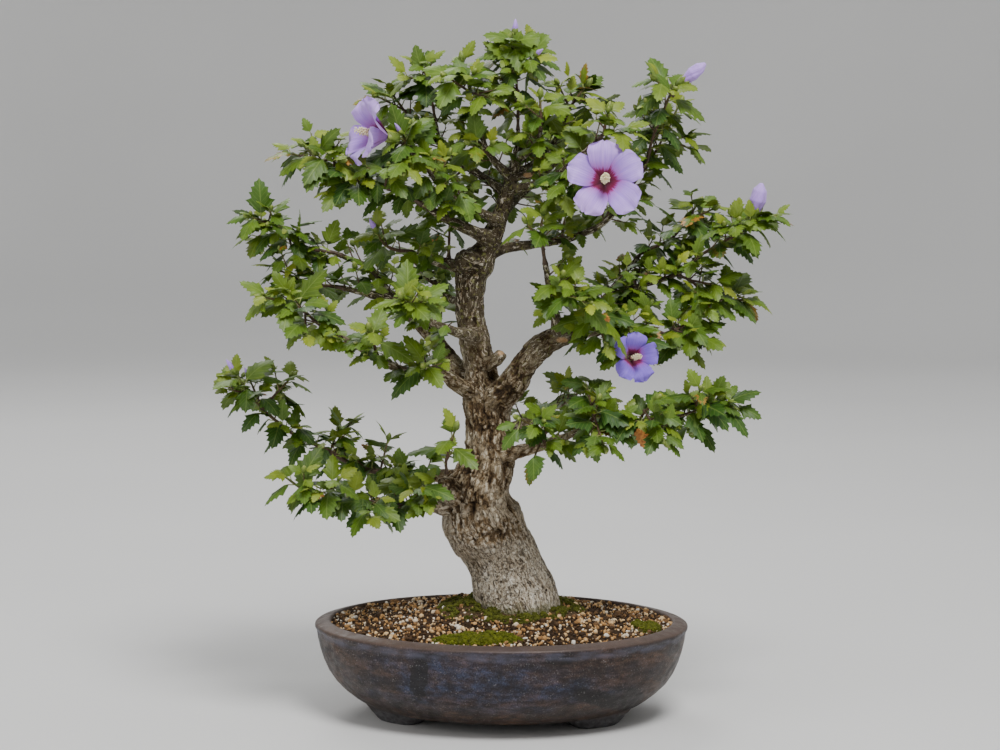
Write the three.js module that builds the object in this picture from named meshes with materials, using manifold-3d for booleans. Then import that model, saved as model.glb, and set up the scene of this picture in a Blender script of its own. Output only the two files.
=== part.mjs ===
// A rose of sharon (Hibiscus syriacus) grown as an informal upright bonsai in an oval glazed pot.
// Millimetres, +Z up. Seen from the front the viewer looks along +Y, and +X is to the right.
import * as THREE from "three";
import { mergeVertices } from "three/addons/utils/BufferGeometryUtils.js";
import Module from "manifold-3d";

const wasm = await Module();
wasm.setup();

// Pot: an oval bowl with a rolled rim, turned a little on the stand.
const POT_WIDTH = 360;
const POT_DEPTH = 275;
const POT_HEIGHT = 93;
const POT_TURN = THREE.MathUtils.degToRad(-5);
const POT_SIDES = 26;
const SOIL_SIDES = 22;
const FOOT_HEIGHT = 9.5;
const FOOT_TOP = 20;
const FOOT_PLACE = [94, 41];
const FOOT_SIZE = [44, 22];
const FOOT_TURN = THREE.MathUtils.degToRad(35);
const FOOT_SPLAY = 0.9;
const DRAIN_RADIUS = 11;
const DRAIN_OFFSET = 62;

// Soil: mounded round the trunk, with a gravel surface.
const MOUND_CENTRE = [8, 42];
const MOUND_TOP = 111;
const SOIL_EDGE = 90;
const SOIL_FLOOR = 18.4;
const SOIL_LEVELS = [SOIL_FLOOR, 37, 64];
const GRAVEL_RELIEF = 1.1;
const MOUND_SPREAD = 70;
const SOIL_SWELL = 6;
const SOIL_RING_SHARES = [1, 0.92, 0.82, 0.68, 0.52, 0.36];
const SOIL_GAP = 1.2;
const FIT = 0.3;

// Trunk base: a plain oval column where it stands in its hole in the soil.
const BASE_CENTRE = [19, 12];
const BASE_RADII = [37, 33];
const BASE_BOTTOM = 78;
const BASE_TOP = 116;
const TRUNK_SIDES = 11;
const BARK_RADIUS = 8;

// Leaves: three-lobed, toothed, arched, their sides drooping a little from the midrib.
const LEAF_ARCH = 0.24;
const LEAF_FOLD = -0.08;
const BLADE_THICKNESS = 1.3;
const STALK_HALF_WIDTH = 0.6;
const STALK_ROOT = 0.55;
const LEAF_GAP = 0.35;
const LEAF_TRIES = 5;
const STALK_LIFT = 0.4;
const STALK_RISE = 0.2;
const BLADE_DROOP = [0.2, 0.35, 0.04];
const STEEPEST_BLADE = -0.6;
const FACE_OUTWARDS = 0.45;
const FACE_FRONT = { middle: 60, reach: 100, most: 0.55, least: -0.4 };
const TURN_PER_LEAF = 2.39996;
const BLADE_LENGTHS = [15, 21, 26, 30, 33, 33, 31, 29, 27];
const LEAVES_ON_STEM = [1, 3, 4];
const LEAVES_ON_TWIG = [2];

// Stems: thickness at the tip and of a side shoot's foot, the straight run off the wood, and the forks' reach.
const STEM_SIDES = 3;
const STEM_TIP_RADIUS = 1.15;
const STEM_ROOT_RADIUS = 1.9;
const STEM_LEAD = 4;
const STEM_CLEAR = 7;
const SEATING_STEPS = 4;
const SEATING_REACH = 4;
const TWIG_RADII = [1.3, 1.05];
const TWIG_REACH = 30;

// The front view from which the tree's routes are read: an eye 2.45 m away that looks down at 6 degrees.
// A place is [across, down, depth]: two pixels of a 1000 x 750 picture, and millimetres away from the viewer.
// The crown reaches about two thirds as far front to back as across, so every depth below is spread.
const CROWN_SPREAD = 1.45;
const VIEW_DISTANCE = 2450;
const VIEW_TILT = THREE.MathUtils.degToRad(6);
const VIEW_TARGET_HEIGHT = 330;
const VIEW_FOCAL = 2558;
const VIEW_CENTRE = [501, 375];

const EYE = new THREE.Vector3(
  0,
  -VIEW_DISTANCE * Math.cos(VIEW_TILT),
  VIEW_TARGET_HEIGHT + VIEW_DISTANCE * Math.sin(VIEW_TILT),
);

function seen([across, down, depth]) {
  const right = (across - VIEW_CENTRE[0]) / VIEW_FOCAL;
  const up = (VIEW_CENTRE[1] - down) / VIEW_FOCAL;
  const away = Math.cos(VIEW_TILT) + up * Math.sin(VIEW_TILT);
  const rise = -Math.sin(VIEW_TILT) + up * Math.cos(VIEW_TILT);
  const y = depth * CROWN_SPREAD;
  const run = (y - EYE.y) / away;
  return new THREE.Vector3(right * run, y, EYE.z + rise * run);
}

// Trunk centre line: [across, down, depth, radius in mm], from the soil to the thin leader.
const TRUNK = [
  [520, 606, 12, 37],
  [515, 592, 12, 39],
  [504, 560, 10, 35],
  [496, 545, 8, 35],
  [488, 531, 6, 38.5],
  [482, 517, 4, 39.5],
  [479, 501, 2, 33],
  [480, 485, 0, 29.5],
  [486, 468, 0, 26.5],
  [489, 450, 1, 24],
  [487, 402, 4, 22.5],
  [482, 385, 6, 17.5],
  [480, 365, 8, 15],
  [475, 342, 9, 15],
  [470, 318, 9, 13.2],
  [471, 276, 6, 15],
  [477, 262, 4, 16.5],
  [487, 248, 3, 11.5],
  [501, 214, 1, 7.6],
  [507, 194, 0, 7.4],
  [517, 158, 1, 5.2],
  [518, 142, 2, 3],
  [518, 128, 3, 2.1],
];

// Branches: each starts inside what it grows from.
const BRANCHES = {
  low_left: [[468, 497, 2, 14], [445, 505, -8, 10.5], [432, 505, -10, 7.5], [420, 505, -12, 4.6]],
  second_left: [
    [472, 478, 12, 9],
    [442, 476, 30, 6.8],
    [420, 475, 35, 5.4],
    [400, 474, 38, 3.8],
  ],
  third_left: [
    [476, 392, 2, 11],
    [458, 385, -12, 7.6],
    [438, 372, -25, 5.5],
    [397, 368, -42, 4],
    [335, 333, -50, 2.6],
  ],
  thick_left: [
    [480, 392, 10, 12],
    [465, 380, 18, 9.5],
    [443, 349, 34, 7.4],
    [412, 317, 46, 5.9],
    [393, 301, 48, 4.8],
    [343, 288, 42, 2.8],
  ],
  upper_left: [[395, 303, 48, 4.4], [372, 270, 56, 3.2], [340, 255, 54, 2.6]],
  knob_left: [
    [470, 267, 6, 9],
    [448, 264, 0, 6],
    [410, 252, -10, 2.8],
  ],
  long_left: [
    [492, 240, 0, 8],
    [465, 228, -24, 5.4],
    [440, 215, -36, 4.2],
    [420, 203, -42, 3],
  ],
  flower_left: [
    [500, 222, 0, 6],
    [480, 212, -16, 4.2],
    [448, 194, -35, 3],
    [420, 160, -48, 2],
  ],
  crown_left: [[511, 178, 0, 5.5], [489, 154, -11, 3.3], [478, 125, -16, 2.2]],
  crown_far_left: [
    [507, 194, 2, 5.5],
    [486, 179, 22, 4],
    [452, 157, 34, 2.9],
    [425, 130, 36, 2],
  ],
  crown_fork: [[440, 145, 36, 2.4], [435, 118, 29, 1.9]],
  crown_middle: [[517, 160, 0, 4.6], [535, 146, -16, 3], [541, 129, -22, 2.1]],
  crown_right: [
    [514, 174, 2, 5.4],
    [534, 164, 20, 4],
    [554, 142, 33, 3],
    [568, 112, 38, 2],
  ],
  crown_front: [
    [508, 190, -2, 5.4],
    [536, 184, -20, 4],
    [566, 168, -32, 3.2],
    [600, 138, -39, 2.1],
  ],
  long_right: [
    [489, 252, 2, 8],
    [512, 247, 6, 4.8],
    [552, 242, 12, 3.9],
    [580, 235, 14, 3.4],
    [610, 217, 14, 2.9],
    [645, 165, 8, 2.1],
  ],
  big_right: [
    [492, 402, -2, 16],
    [510, 387, -8, 14.5],
    [524, 366, -11, 12.5],
    [538, 349, -12, 12],
    [554, 339, -10, 10.5],
    [568, 335, -8, 8.8],
  ],
  right_upright: [
    [557, 339, -11, 6.5],
    [556, 320, -16, 5],
    [550, 290, -22, 3.8],
    [545, 262, -26, 2.7],
  ],
  right_level: [
    [563, 335, -8, 7],
    [585, 332, -6, 5.8],
    [625, 327, 1, 3.9],
    [660, 333, 8, 2.6],
  ],
  right_long: [
    [562, 337, -6, 7],
    [600, 303, 22, 4.2],
    [640, 286, 28, 3.2],
    [675, 275, 26, 2.6],
    [700, 256, 22, 2.1],
  ],
  right_rising: [[601, 303, 22, 3.6], [638, 257, 40, 2.4]],
  low_right: [
    [500, 457, -8, 10],
    [518, 452, -15, 7],
    [545, 445, -23, 4.8],
    [590, 429, -31, 3.3],
    [665, 421, -30, 2.1],
  ],
  back_low: [[492, 436, 8, 8], [522, 423, 44, 4.8], [562, 404, 84, 2.6]],
  back_middle: [[470, 312, 12, 7], [450, 298, 48, 4.4], [424, 272, 88, 2.5]],
  back_top: [[502, 212, 4, 6], [522, 194, 42, 3.7], [556, 164, 84, 2.3]],
  front_middle: [[474, 336, 0, 7], [450, 330, -42, 4.2], [412, 312, -86, 2.3]],
  stub_crown: [[512, 178, -2, 4.5], [524, 176, -6, 3.6], [536, 175, -9, 3.4]],
  stub_middle: [[484, 366, 2, 7], [496, 360, -8, 6.4], [502, 353, -11, 5.8]],
  stub_base: [[462, 498, -8, 13], [450, 490, -14, 11], [446, 478, -15, 8]],
  knob_lump: [[474, 262, 0, 13], [464, 260, -7, 11], [459, 255, -9, 8]],
};

// Leafy sprays: where each leaves the wood, the places its stem passes, and the tips of its side twigs.
const SPRAYS = {
  low_left: {
    at: [420, 505, -12],
    stem: [
      [400, 507, -16],
      [385, 506, -18],
      [368, 502, -20],
      [348, 500, -24],
      [325, 497, -28],
      [304, 490, -31],
      [284, 476, -31],
    ],
    tips: [[368, 516, -40], [338, 480, -42], [400, 482, 2]],
  },
  second_left: {
    at: [400, 474, 38],
    stem: [
      [380, 472, 40],
      [360, 468, 40],
      [330, 452, 38],
      [312, 443, 36],
      [295, 435, 32],
      [275, 420, 28],
      [262, 408, 24],
      [250, 395, 20],
      [236, 374, 18],
    ],
    tips: [[221, 384, 34], [292, 377, 34], [388, 440, 52], [338, 430, 60]],
  },
  trunk_shoot: {
    at: [447, 482, -15],
    stem: [[446, 462, -20], [450, 446, -24], [455, 430, -26]],
    tips: [],
  },
  third_left: {
    at: [335, 333, -50],
    stem: [[320, 325, -48], [305, 312, -46], [295, 303, -44], [284, 292, -42]],
    tips: [[263, 297, -56], [306, 336, -62]],
    bud: true,
  },
  third_left_middle: {
    at: [378, 357, -46],
    stem: [[374, 344, -56], [370, 330, -64]],
    tips: [],
  },
  yellow_rosette: {
    at: [428, 371, -30],
    stem: [[427, 369, -46], [424, 366, -60]],
    tips: [],
  },
  thick_left: {
    at: [343, 288, 42],
    stem: [[325, 286, 36], [310, 285, 32], [296, 280, 30]],
    tips: [[275, 268, 42]],
  },
  thick_left_middle: {
    at: [395, 302, 48],
    stem: [[398, 290, 44], [402, 276, 42]],
    tips: [],
  },
  thick_left_inner: {
    at: [436, 341, 37],
    stem: [[440, 324, 26], [442, 308, 24]],
    tips: [],
  },
  upper_left: {
    at: [340, 255, 54],
    stem: [[322, 251, 52], [305, 248, 50], [289, 238, 46], [276, 225, 43], [270, 211, 40]],
    tips: [[250, 217, 28], [253, 240, 60], [297, 263, 33]],
    bud: true,
  },
  upper_left_inner: {
    at: [368, 267, 56],
    stem: [[369, 253, 60], [368, 238, 60]],
    tips: [],
    bud: true,
  },
  knob_left: {
    at: [410, 252, -10],
    stem: [[396, 250, -14], [384, 244, -19], [377, 232, -24]],
    tips: [],
  },
  knob_shoot: {
    at: [450, 265, 0],
    stem: [[449, 248, 10], [450, 222, 18], [452, 194, 20]],
    tips: [],
  },
  long_left: {
    at: [420, 203, -42],
    stem: [
      [400, 193, -46],
      [385, 187, -48],
      [365, 183, -50],
      [350, 178, -50],
      [335, 170, -48],
      [318, 160, -46],
      [304, 146, -44],
    ],
    tips: [[288, 153, -30], [332, 192, -54], [388, 166, -70]],
  },
  side_flower: {
    at: [420, 160, -48],
    stem: [[414, 156, -50], [408, 150, -52], [402, 146, -54]],
    bloom: "side",
    tips: [[404, 170, -72]],
  },
  crown_far_left: {
    at: [425, 130, 36],
    stem: [[413, 121, 34], [404, 110, 32], [393, 95, 30]],
    tips: [[377, 96, 20]],
  },
  crown_fork: {
    at: [435, 118, 29],
    stem: [[432, 100, 25], [428, 82, 23], [421, 62, 22]],
    tips: [[404, 76, 8]],
    bud: true,
  },
  crown_left: {
    at: [478, 125, -16],
    stem: [[475, 110, -17], [470, 92, -18], [463, 61, -18]],
    tips: [[446, 76, -34], [490, 98, -36]],
    bud: true,
  },
  crown_left_inner: {
    at: [489, 154, -11],
    stem: [[480, 150, -24], [470, 144, -34]],
    tips: [],
  },
  crown_far_left_inner: {
    at: [466, 167, 31],
    stem: [[458, 174, 40], [448, 180, 46]],
    tips: [],
  },
  leader: {
    at: [518, 128, 3],
    stem: [[518, 110, 3], [517, 90, 3], [516, 70, 3], [516, 50, 3], [515, 36, 3]],
    tips: [[497, 76, -10], [534, 72, 14]],
    bud: true,
  },
  crown_middle: {
    at: [541, 129, -22],
    stem: [[541, 115, -23], [540, 98, -24]],
    tips: [],
    bud: true,
  },
  crown_right: {
    at: [568, 112, 38],
    stem: [[576, 99, 39], [586, 86, 40]],
    tips: [[558, 84, 30], [602, 104, 52]],
  },
  crown_front: {
    at: [600, 138, -39],
    stem: [[605, 126, -40], [608, 112, -41]],
    tips: [[628, 131, -48]],
  },
  front_flower: {
    at: [572, 163, -34],
    stem: [[581, 172, -26], [594, 179, -22]],
    bloom: "front",
    tips: [[560, 196, -44]],
  },
  long_right: {
    at: [645, 165, 8],
    stem: [[652, 140, 4], [662, 115, 0], [672, 95, -3], [680, 86, -4]],
    bloom: "upper_bud",
    tips: [[656, 80, -14]],
  },
  long_right_middle: {
    at: [637, 181, 10],
    stem: [[646, 168, 26], [664, 136, 34], [679, 105, 34]],
    tips: [[692, 150, 42]],
    bud: true,
  },
  long_right_inner: {
    at: [606, 220, 14],
    stem: [[610, 208, 26], [612, 198, 36]],
    tips: [],
  },
  long_right_base: {
    at: [562, 240, 13],
    stem: [[563, 228, 2], [566, 215, -4]],
    tips: [],
  },
  right_upright: {
    at: [545, 262, -26],
    stem: [[543, 248, -28], [541, 232, -29], [543, 214, -30]],
    tips: [[526, 222, -38]],
  },
  right_upright_inner: {
    at: [551, 298, -20],
    stem: [[558, 290, -36], [562, 277, -46]],
    tips: [[590, 304, -66]],
  },
  far_right_bud: {
    at: [700, 256, 22],
    stem: [[715, 247, 19], [732, 237, 15], [748, 222, 12], [753, 214, 11]],
    bloom: "far_bud",
    tips: [[738, 222, 0], [771, 221, 24]],
  },
  right_rising: {
    at: [638, 257, 40],
    stem: [[655, 247, 41], [672, 238, 42], [685, 222, 42], [697, 205, 42]],
    tips: [[713, 209, 32], [712, 238, 52]],
    bud: true,
  },
  right_long: {
    at: [676, 274, 26],
    stem: [[690, 280, 25], [703, 291, 25], [720, 300, 26], [736, 292, 28]],
    tips: [[752, 300, 34], [704, 308, 8]],
    bud: true,
  },
  right_long_inner: {
    at: [630, 290, 27],
    stem: [[636, 278, 40], [648, 266, 48]],
    tips: [[634, 309, 52]],
  },
  right_level: {
    at: [660, 333, 8],
    stem: [[675, 330, 10], [688, 323, 12], [701, 316, 14]],
    tips: [[706, 341, 4], [686, 350, 24]],
  },
  right_level_front: {
    at: [598, 330, -4],
    stem: [[597, 322, -20], [593, 312, -34]],
    tips: [[606, 344, -42]],
  },
  small_flower: {
    at: [625, 327, 1],
    stem: [[627, 333, -8], [630, 340, -15], [632, 345, -19]],
    bloom: "small",
    tips: [],
  },
  low_right: {
    at: [665, 421, -30],
    stem: [[680, 416, -28], [695, 411, -26], [708, 405, -25], [718, 398, -24]],
    tips: [[738, 409, -14], [700, 390, -40], [692, 430, -12]],
  },
  low_right_middle: {
    at: [636, 423, -32],
    stem: [[645, 412, -42], [655, 401, -48]],
    tips: [[664, 440, -56]],
  },
  low_right_inner: {
    at: [590, 429, -31],
    stem: [[594, 416, -40], [598, 402, -46]],
    tips: [[604, 446, -60], [586, 384, -34]],
  },
  low_right_root: {
    at: [545, 445, -23],
    stem: [[545, 432, -32], [544, 416, -38]],
    tips: [],
  },
  back_low: {
    at: [562, 404, 84],
    stem: [[574, 397, 96], [582, 388, 108]],
    tips: [[604, 404, 88]],
  },
  back_middle: {
    at: [424, 272, 88],
    stem: [[416, 264, 100], [410, 254, 112]],
    tips: [[438, 250, 100]],
  },
  back_top: {
    at: [556, 164, 84],
    stem: [[566, 154, 100], [574, 142, 114]],
    tips: [[552, 142, 108]],
  },
  front_middle: {
    at: [412, 312, -86],
    stem: [[406, 306, -96], [402, 298, -104]],
    tips: [[424, 300, -106]],
  },
};

// Blooms: place of the throat, where the flower faces, its radius, and how wide it opens (1 is flat).
const BLOOMS = {
  front: { at: [605, 179, -66], faces: [0, -1, 0.2], radius: 39, open: 0.92, turn: 0.3 },
  side: { at: [362, 131, -72], faces: [-0.88, -0.4, 0.2], radius: 37, open: 0.5, turn: 0.9 },
  small: { at: [636, 357, -36], faces: [0.35, -0.92, 0.16], radius: 27, open: 0.8, turn: 0.1 },
};
const HALF_OPEN = {
  upper_bud: { at: [684, 81, -5], faces: [0.75, -0.1, 0.62], length: 26, radius: 6 },
  far_bud: { at: [755, 211.5, 11], faces: [0.2, -0.15, 0.95], length: 28, radius: 7.5 },
};
const PETALS = 5;
const PETAL_STATIONS = [0, 0.3, 0.58, 0.82, 0.97];
const PETAL_HALF_WIDTHS = [0.045, 0.21, 0.37, 0.41, 0.24];
const PETAL_ROOT = 2.5;
const CALYX_LENGTH = 10;
const FULL_BLOOM_RADIUS = 39;
const BLOOM_APPROACH = 9;

// A repeatable draw between 0 and 1.
function seeded(seed) {
  let state = seed >>> 0;
  return () => {
    state = (state + 0x6d2b79f5) >>> 0;
    let t = Math.imul(state ^ (state >>> 15), 1 | state);
    t = (t + Math.imul(t ^ (t >>> 7), 61 | t)) ^ t;
    return ((t ^ (t >>> 14)) >>> 0) / 4294967296;
  };
}

// Solids and meshes
function solidOf(points, triangles) {
  const geometry = new THREE.BufferGeometry();
  const flat = points.flatMap((p) => [p.x, p.y, p.z]);
  geometry.setAttribute("position", new THREE.Float32BufferAttribute(flat, 3));
  geometry.setIndex(triangles.flat());
  return solidOfGeometry(geometry);
}

function solidOfGeometry(geometry) {
  const bare = geometry.clone();
  bare.deleteAttribute("normal");
  bare.deleteAttribute("uv");
  const merged = mergeVertices(bare, 1e-4);
  const vertProperties = new Float32Array(merged.attributes.position.array);
  const triVerts = new Uint32Array(merged.index.array);
  const made = new wasm.Manifold(new wasm.Mesh({ numProp: 3, vertProperties, triVerts }));
  if (made.volume() > 0) return made;
  for (let i = 0; i < triVerts.length; i += 3) {
    [triVerts[i + 1], triVerts[i + 2]] = [triVerts[i + 2], triVerts[i + 1]];
  }
  return new wasm.Manifold(new wasm.Mesh({ numProp: 3, vertProperties, triVerts }));
}

function geometryOf(solid) {
  const mesh = solid.getMesh();
  const positions = new Float32Array(mesh.numVert * 3);
  for (let i = 0; i < mesh.numVert; i++) {
    for (let axis = 0; axis < 3; axis++) {
      positions[3 * i + axis] = mesh.vertProperties[mesh.numProp * i + axis];
    }
  }
  const geometry = new THREE.BufferGeometry();
  geometry.setAttribute("position", new THREE.BufferAttribute(positions, 3));
  geometry.setIndex(new THREE.BufferAttribute(new Uint32Array(mesh.triVerts), 1));
  geometry.computeVertexNormals();
  return geometry;
}

// The largest body of a solid: a loose scrap left by a cut is dropped.
function mainBody(solid) {
  const bodies = solid.decompose();
  bodies.sort((a, b) => b.volume() - a.volume());
  return bodies[0];
}

// Rings of points joined one to the next and closed by a flat cap at each end.
function loft(rings) {
  const sides = rings[0].length;
  const triangles = [];
  for (let r = 0; r + 1 < rings.length; r++) {
    for (let s = 0; s < sides; s++) {
      const a = r * sides + s;
      const b = r * sides + ((s + 1) % sides);
      triangles.push([a, b, b + sides], [a, b + sides, a + sides]);
    }
  }
  const last = (rings.length - 1) * sides;
  for (let s = 1; s + 1 < sides; s++) {
    triangles.push([0, s + 1, s], [last, last + s, last + s + 1]);
  }
  return solidOf(rings.flat(), triangles);
}

// Directions across a route at each of its points, carried along it without twist.
function routeFrames(points) {
  const frames = [];
  let side = null;
  points.forEach((point, i) => {
    const before = points[Math.max(i - 1, 0)];
    const after = points[Math.min(i + 1, points.length - 1)];
    const along = after.clone().sub(before).normalize();
    if (side === null) {
      const other = Math.abs(along.z) < 0.8 ? new THREE.Vector3(0, 0, 1) : new THREE.Vector3(0, -1, 0);
      side = other.cross(along);
    }
    side = side.clone().addScaledVector(along, -side.dot(along)).normalize();
    frames.push({ along, side, across: along.clone().cross(side) });
  });
  return frames;
}

function tube(points, radii, sides, swell = () => 1) {
  const frames = routeFrames(points);
  const rings = points.map((point, i) => {
    const { side, across } = frames[i];
    return Array.from({ length: sides }, (_, s) => {
      const angle = (2 * Math.PI * s) / sides;
      const radius = radii[i] * swell(i, s);
      return point
        .clone()
        .addScaledVector(side, radius * Math.cos(angle))
        .addScaledVector(across, radius * Math.sin(angle));
    });
  });
  return loft(rings);
}

// Pot
function ovalRing(halfWidth, height, sides = POT_SIDES, centre = [0, 0], halfDepth = null) {
  const depth = halfDepth ?? (halfWidth * POT_DEPTH) / POT_WIDTH;
  return Array.from({ length: sides }, (_, s) => {
    const angle = (2 * Math.PI * s) / sides;
    return new THREE.Vector3(
      centre[0] + halfWidth * Math.cos(angle),
      centre[1] + depth * Math.sin(angle),
      height,
    );
  });
}

function turned(solid) {
  const geometry = geometryOf(solid);
  geometry.rotateZ(POT_TURN);
  return solidOfGeometry(geometry);
}

// [half width, height] from the underside out and up to the rim, whose flat top slopes down outwards.
const POT_OUTSIDE = [
  [108, FOOT_HEIGHT],
  [129, 12.5],
  [144, 20.5],
  [161, 35.5],
  [172, 55.5],
  [177.5, 76],
  [178.5, 85],
  [180, 86.2],
  [180, 89.5],
  [166.5, POT_HEIGHT],
];
const POT_INSIDE = [
  [165.5, POT_HEIGHT],
  [164.5, 88],
  [160, 64],
  [146, 37],
  [108, 18],
];

// A low foot that follows the oval's bend and draws in towards the floor.
function footSolid(signX, signY) {
  const [length, width] = FOOT_SIZE;
  const outline = [
    [-0.5, -0.5],
    [0.5, -0.5],
    [0.5, 0.2],
    [0.36, 0.5],
    [-0.36, 0.5],
    [-0.5, 0.2],
  ];
  const cos = Math.cos(FOOT_TURN);
  const sin = Math.sin(FOOT_TURN);
  const level = (height, share) =>
    outline.map(([along, out]) => {
      const u = along * length * share;
      const v = out * width * share;
      const x = signX * (FOOT_PLACE[0] + u * cos + v * sin);
      return new THREE.Vector3(x, signY * (FOOT_PLACE[1] - u * sin + v * cos), height);
    });
  return loft([level(0, 1), level(FOOT_TOP, 1 + FOOT_SPLAY)]);
}

function makePot() {
  let pot = loft(POT_OUTSIDE.map(([halfWidth, height]) => ovalRing(halfWidth, height)));
  for (const signX of [-1, 1]) {
    for (const signY of [-1, 1]) pot = pot.add(footSolid(signX, signY));
  }
  const top = POT_INSIDE[0];
  const hollow = [[top[0] + 0.5, top[1] + 2], ...POT_INSIDE];
  pot = pot.subtract(loft(hollow.map(([halfWidth, height]) => ovalRing(halfWidth, height))));
  for (const sign of [-1, 1]) {
    const hole = [FOOT_HEIGHT - 3, POT_INSIDE.at(-1)[1] + 3];
    const rings = hole.map((z) => ovalRing(DRAIN_RADIUS, z, 10, [sign * DRAIN_OFFSET, 0], DRAIN_RADIUS));
    pot = pot.subtract(loft(rings));
  }
  return turned(pot);
}

// Soil
function insideHalfWidth(height) {
  const i = POT_INSIDE.findIndex(([, level]) => level <= height);
  const [w0, h0] = POT_INSIDE[Math.max(i - 1, 0)];
  const [w1, h1] = POT_INSIDE[i];
  return h0 === h1 ? w1 : w1 + ((w0 - w1) * (height - h1)) / (h0 - h1);
}

const SOIL_HALF_WIDTH = insideHalfWidth(SOIL_EDGE) - FIT - SOIL_GAP;

// Height of the soil's surface: a mound off centre that runs down to the rim.
function soilHeight(x, y) {
  const cos = Math.cos(POT_TURN);
  const sin = Math.sin(POT_TURN);
  const u = (x * cos + y * sin) / SOIL_HALF_WIDTH;
  const v = ((-x * sin + y * cos) / SOIL_HALF_WIDTH) * (POT_WIDTH / POT_DEPTH);
  const edge = Math.min(1, Math.hypot(u, v));
  const near = Math.hypot(x - MOUND_CENTRE[0], y - MOUND_CENTRE[1]) / MOUND_SPREAD;
  const crown = Math.exp(-near * near);
  return SOIL_EDGE + (1 - edge ** 3) * (SOIL_SWELL + (MOUND_TOP - SOIL_EDGE - SOIL_SWELL) * crown);
}

function columnAt(centre, radii, heights, sides = 20) {
  return loft(heights.map((z) => ovalRing(radii[0], z, sides, centre, radii[1])));
}

function makeSoilBlock() {
  const draw = seeded(4711);
  const rings = [];
  for (const height of SOIL_LEVELS) {
    rings.push(ovalRing(insideHalfWidth(height) - FIT - SOIL_GAP, height, SOIL_SIDES));
  }
  for (const share of SOIL_RING_SHARES) {
    const ring = ovalRing(SOIL_HALF_WIDTH * share, SOIL_EDGE, SOIL_SIDES);
    const pull = (1 - share) / (1 - SOIL_RING_SHARES.at(-1));
    for (const p of ring) {
      p.x += MOUND_CENTRE[0] * pull;
      p.y += MOUND_CENTRE[1] * pull;
      const bump = share === 1 ? 0 : GRAVEL_RELIEF * (2 * draw() - 1);
      const turnedX = p.x * Math.cos(POT_TURN) - p.y * Math.sin(POT_TURN);
      const turnedY = p.x * Math.sin(POT_TURN) + p.y * Math.cos(POT_TURN);
      p.z = soilHeight(turnedX, turnedY) + bump;
    }
    rings.push(ring);
  }
  const block = turned(loft(rings));
  const hole = [BASE_BOTTOM - FIT, MOUND_TOP + 20];
  return block.subtract(columnAt(BASE_CENTRE, BASE_RADII.map((r) => r + FIT), hole));
}

// Moss: cushions that sit in shallow sockets in the soil, with a wavy outline and a domed top.
const MOSS = {
  moss_round_trunk: { centre: [10, 12], radii: [72, 56], sides: 18, seed: 11, rise: 4, depth: 13 },
  moss_front: { centre: [-21, -98], radii: [41, 17], sides: 12, seed: 12, rise: 4, depth: 3 },
  moss_right: { centre: [137, -36], radii: [15, 22], sides: 10, seed: 13, rise: 3.5, depth: 3 },
};

function mossSolid({ centre, radii, sides, seed, rise, depth }, grow) {
  const draw = seeded(seed);
  const edge = Array.from({ length: sides }, () => 0.88 + 0.24 * draw());
  const level = (share, extra, heightOf) =>
    edge.map((wave, s) => {
      const angle = (2 * Math.PI * s) / sides;
      const x = centre[0] + (radii[0] * wave * share + extra) * Math.cos(angle);
      const y = centre[1] + (radii[1] * wave * share + extra) * Math.sin(angle);
      return new THREE.Vector3(x, y, heightOf(x, y));
    });
  const floor = soilHeight(centre[0], centre[1]) - depth;
  const flat = () => floor - grow;
  if (grow > 0) return loft([level(1, grow, flat), level(1, grow, () => floor + 30)]);
  const top = (lift) => (x, y) => Math.max(soilHeight(x, y) + lift, floor + 1);
  return loft([
    level(1, 0, flat),
    level(1, 0, top(0.6)),
    level(0.9, 0, top(0.75 * rise)),
    level(0.6, 0, top(rise)),
    level(0.25, 0, top(1.05 * rise)),
  ]);
}

// Wood
function strand(line) {
  const places = line.map((entry) => seen(entry));
  const radii = line.map((entry) => entry[3]);
  return { places, radii };
}

const trunkLine = strand(TRUNK);
trunkLine.places[0].set(BASE_CENTRE[0], BASE_CENTRE[1], trunkLine.places[0].z);
const strands = [trunkLine, ...Object.values(BRANCHES).map(strand)];

function makeWood() {
  const draw = seeded(2024);
  const ridge = Array.from({ length: TRUNK.length * TRUNK_SIDES }, () => 0.94 + 0.12 * draw());
  const fissure = (i, s) => {
    if (trunkLine.radii[i] <= BARK_RADIUS) return 1;
    return ridge[i * TRUNK_SIDES + s] * (1 + 0.035 * Math.cos(5 * s + 0.7 * i));
  };
  let wood = tube(trunkLine.places, trunkLine.radii, TRUNK_SIDES, fissure);
  wood = wood.add(columnAt(BASE_CENTRE, BASE_RADII, [BASE_BOTTOM, BASE_TOP]));
  // The tilted lowest ring is trimmed to the column below the soil.
  const foot = columnAt(BASE_CENTRE, [80, 80], [BASE_BOTTOM - 30, BASE_TOP]);
  const socket = columnAt(BASE_CENTRE, BASE_RADII, [BASE_BOTTOM - 31, BASE_TOP + 1]);
  wood = wood.subtract(foot.subtract(socket));
  for (const line of Object.values(BRANCHES)) {
    const { places, radii } = strand(line);
    const sideCount = radii[0] > 9 ? 7 : radii[0] > 6 ? 5 : 4;
    wood = wood.add(tube(places, radii, sideCount));
  }
  return wood;
}

// The place on the wood nearest to a point, with the radius and direction there, and whether the wood ends there.
function nearestWood(point) {
  let best = { distance: Infinity };
  for (const { places, radii } of strands) {
    for (let i = 0; i + 1 < places.length; i++) {
      const line = new THREE.Line3(places[i], places[i + 1]);
      const t = line.closestPointToPointParameter(point, true);
      const place = line.at(t, new THREE.Vector3());
      const distance = place.distanceTo(point);
      if (distance < best.distance) {
        const along = places[i + 1].clone().sub(places[i]).normalize();
        const ending = t > 0.98 && i + 2 === places.length;
        best = { distance, place, radius: radii[i] + (radii[i + 1] - radii[i]) * t, along, ending };
      }
    }
  }
  return best;
}

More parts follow.
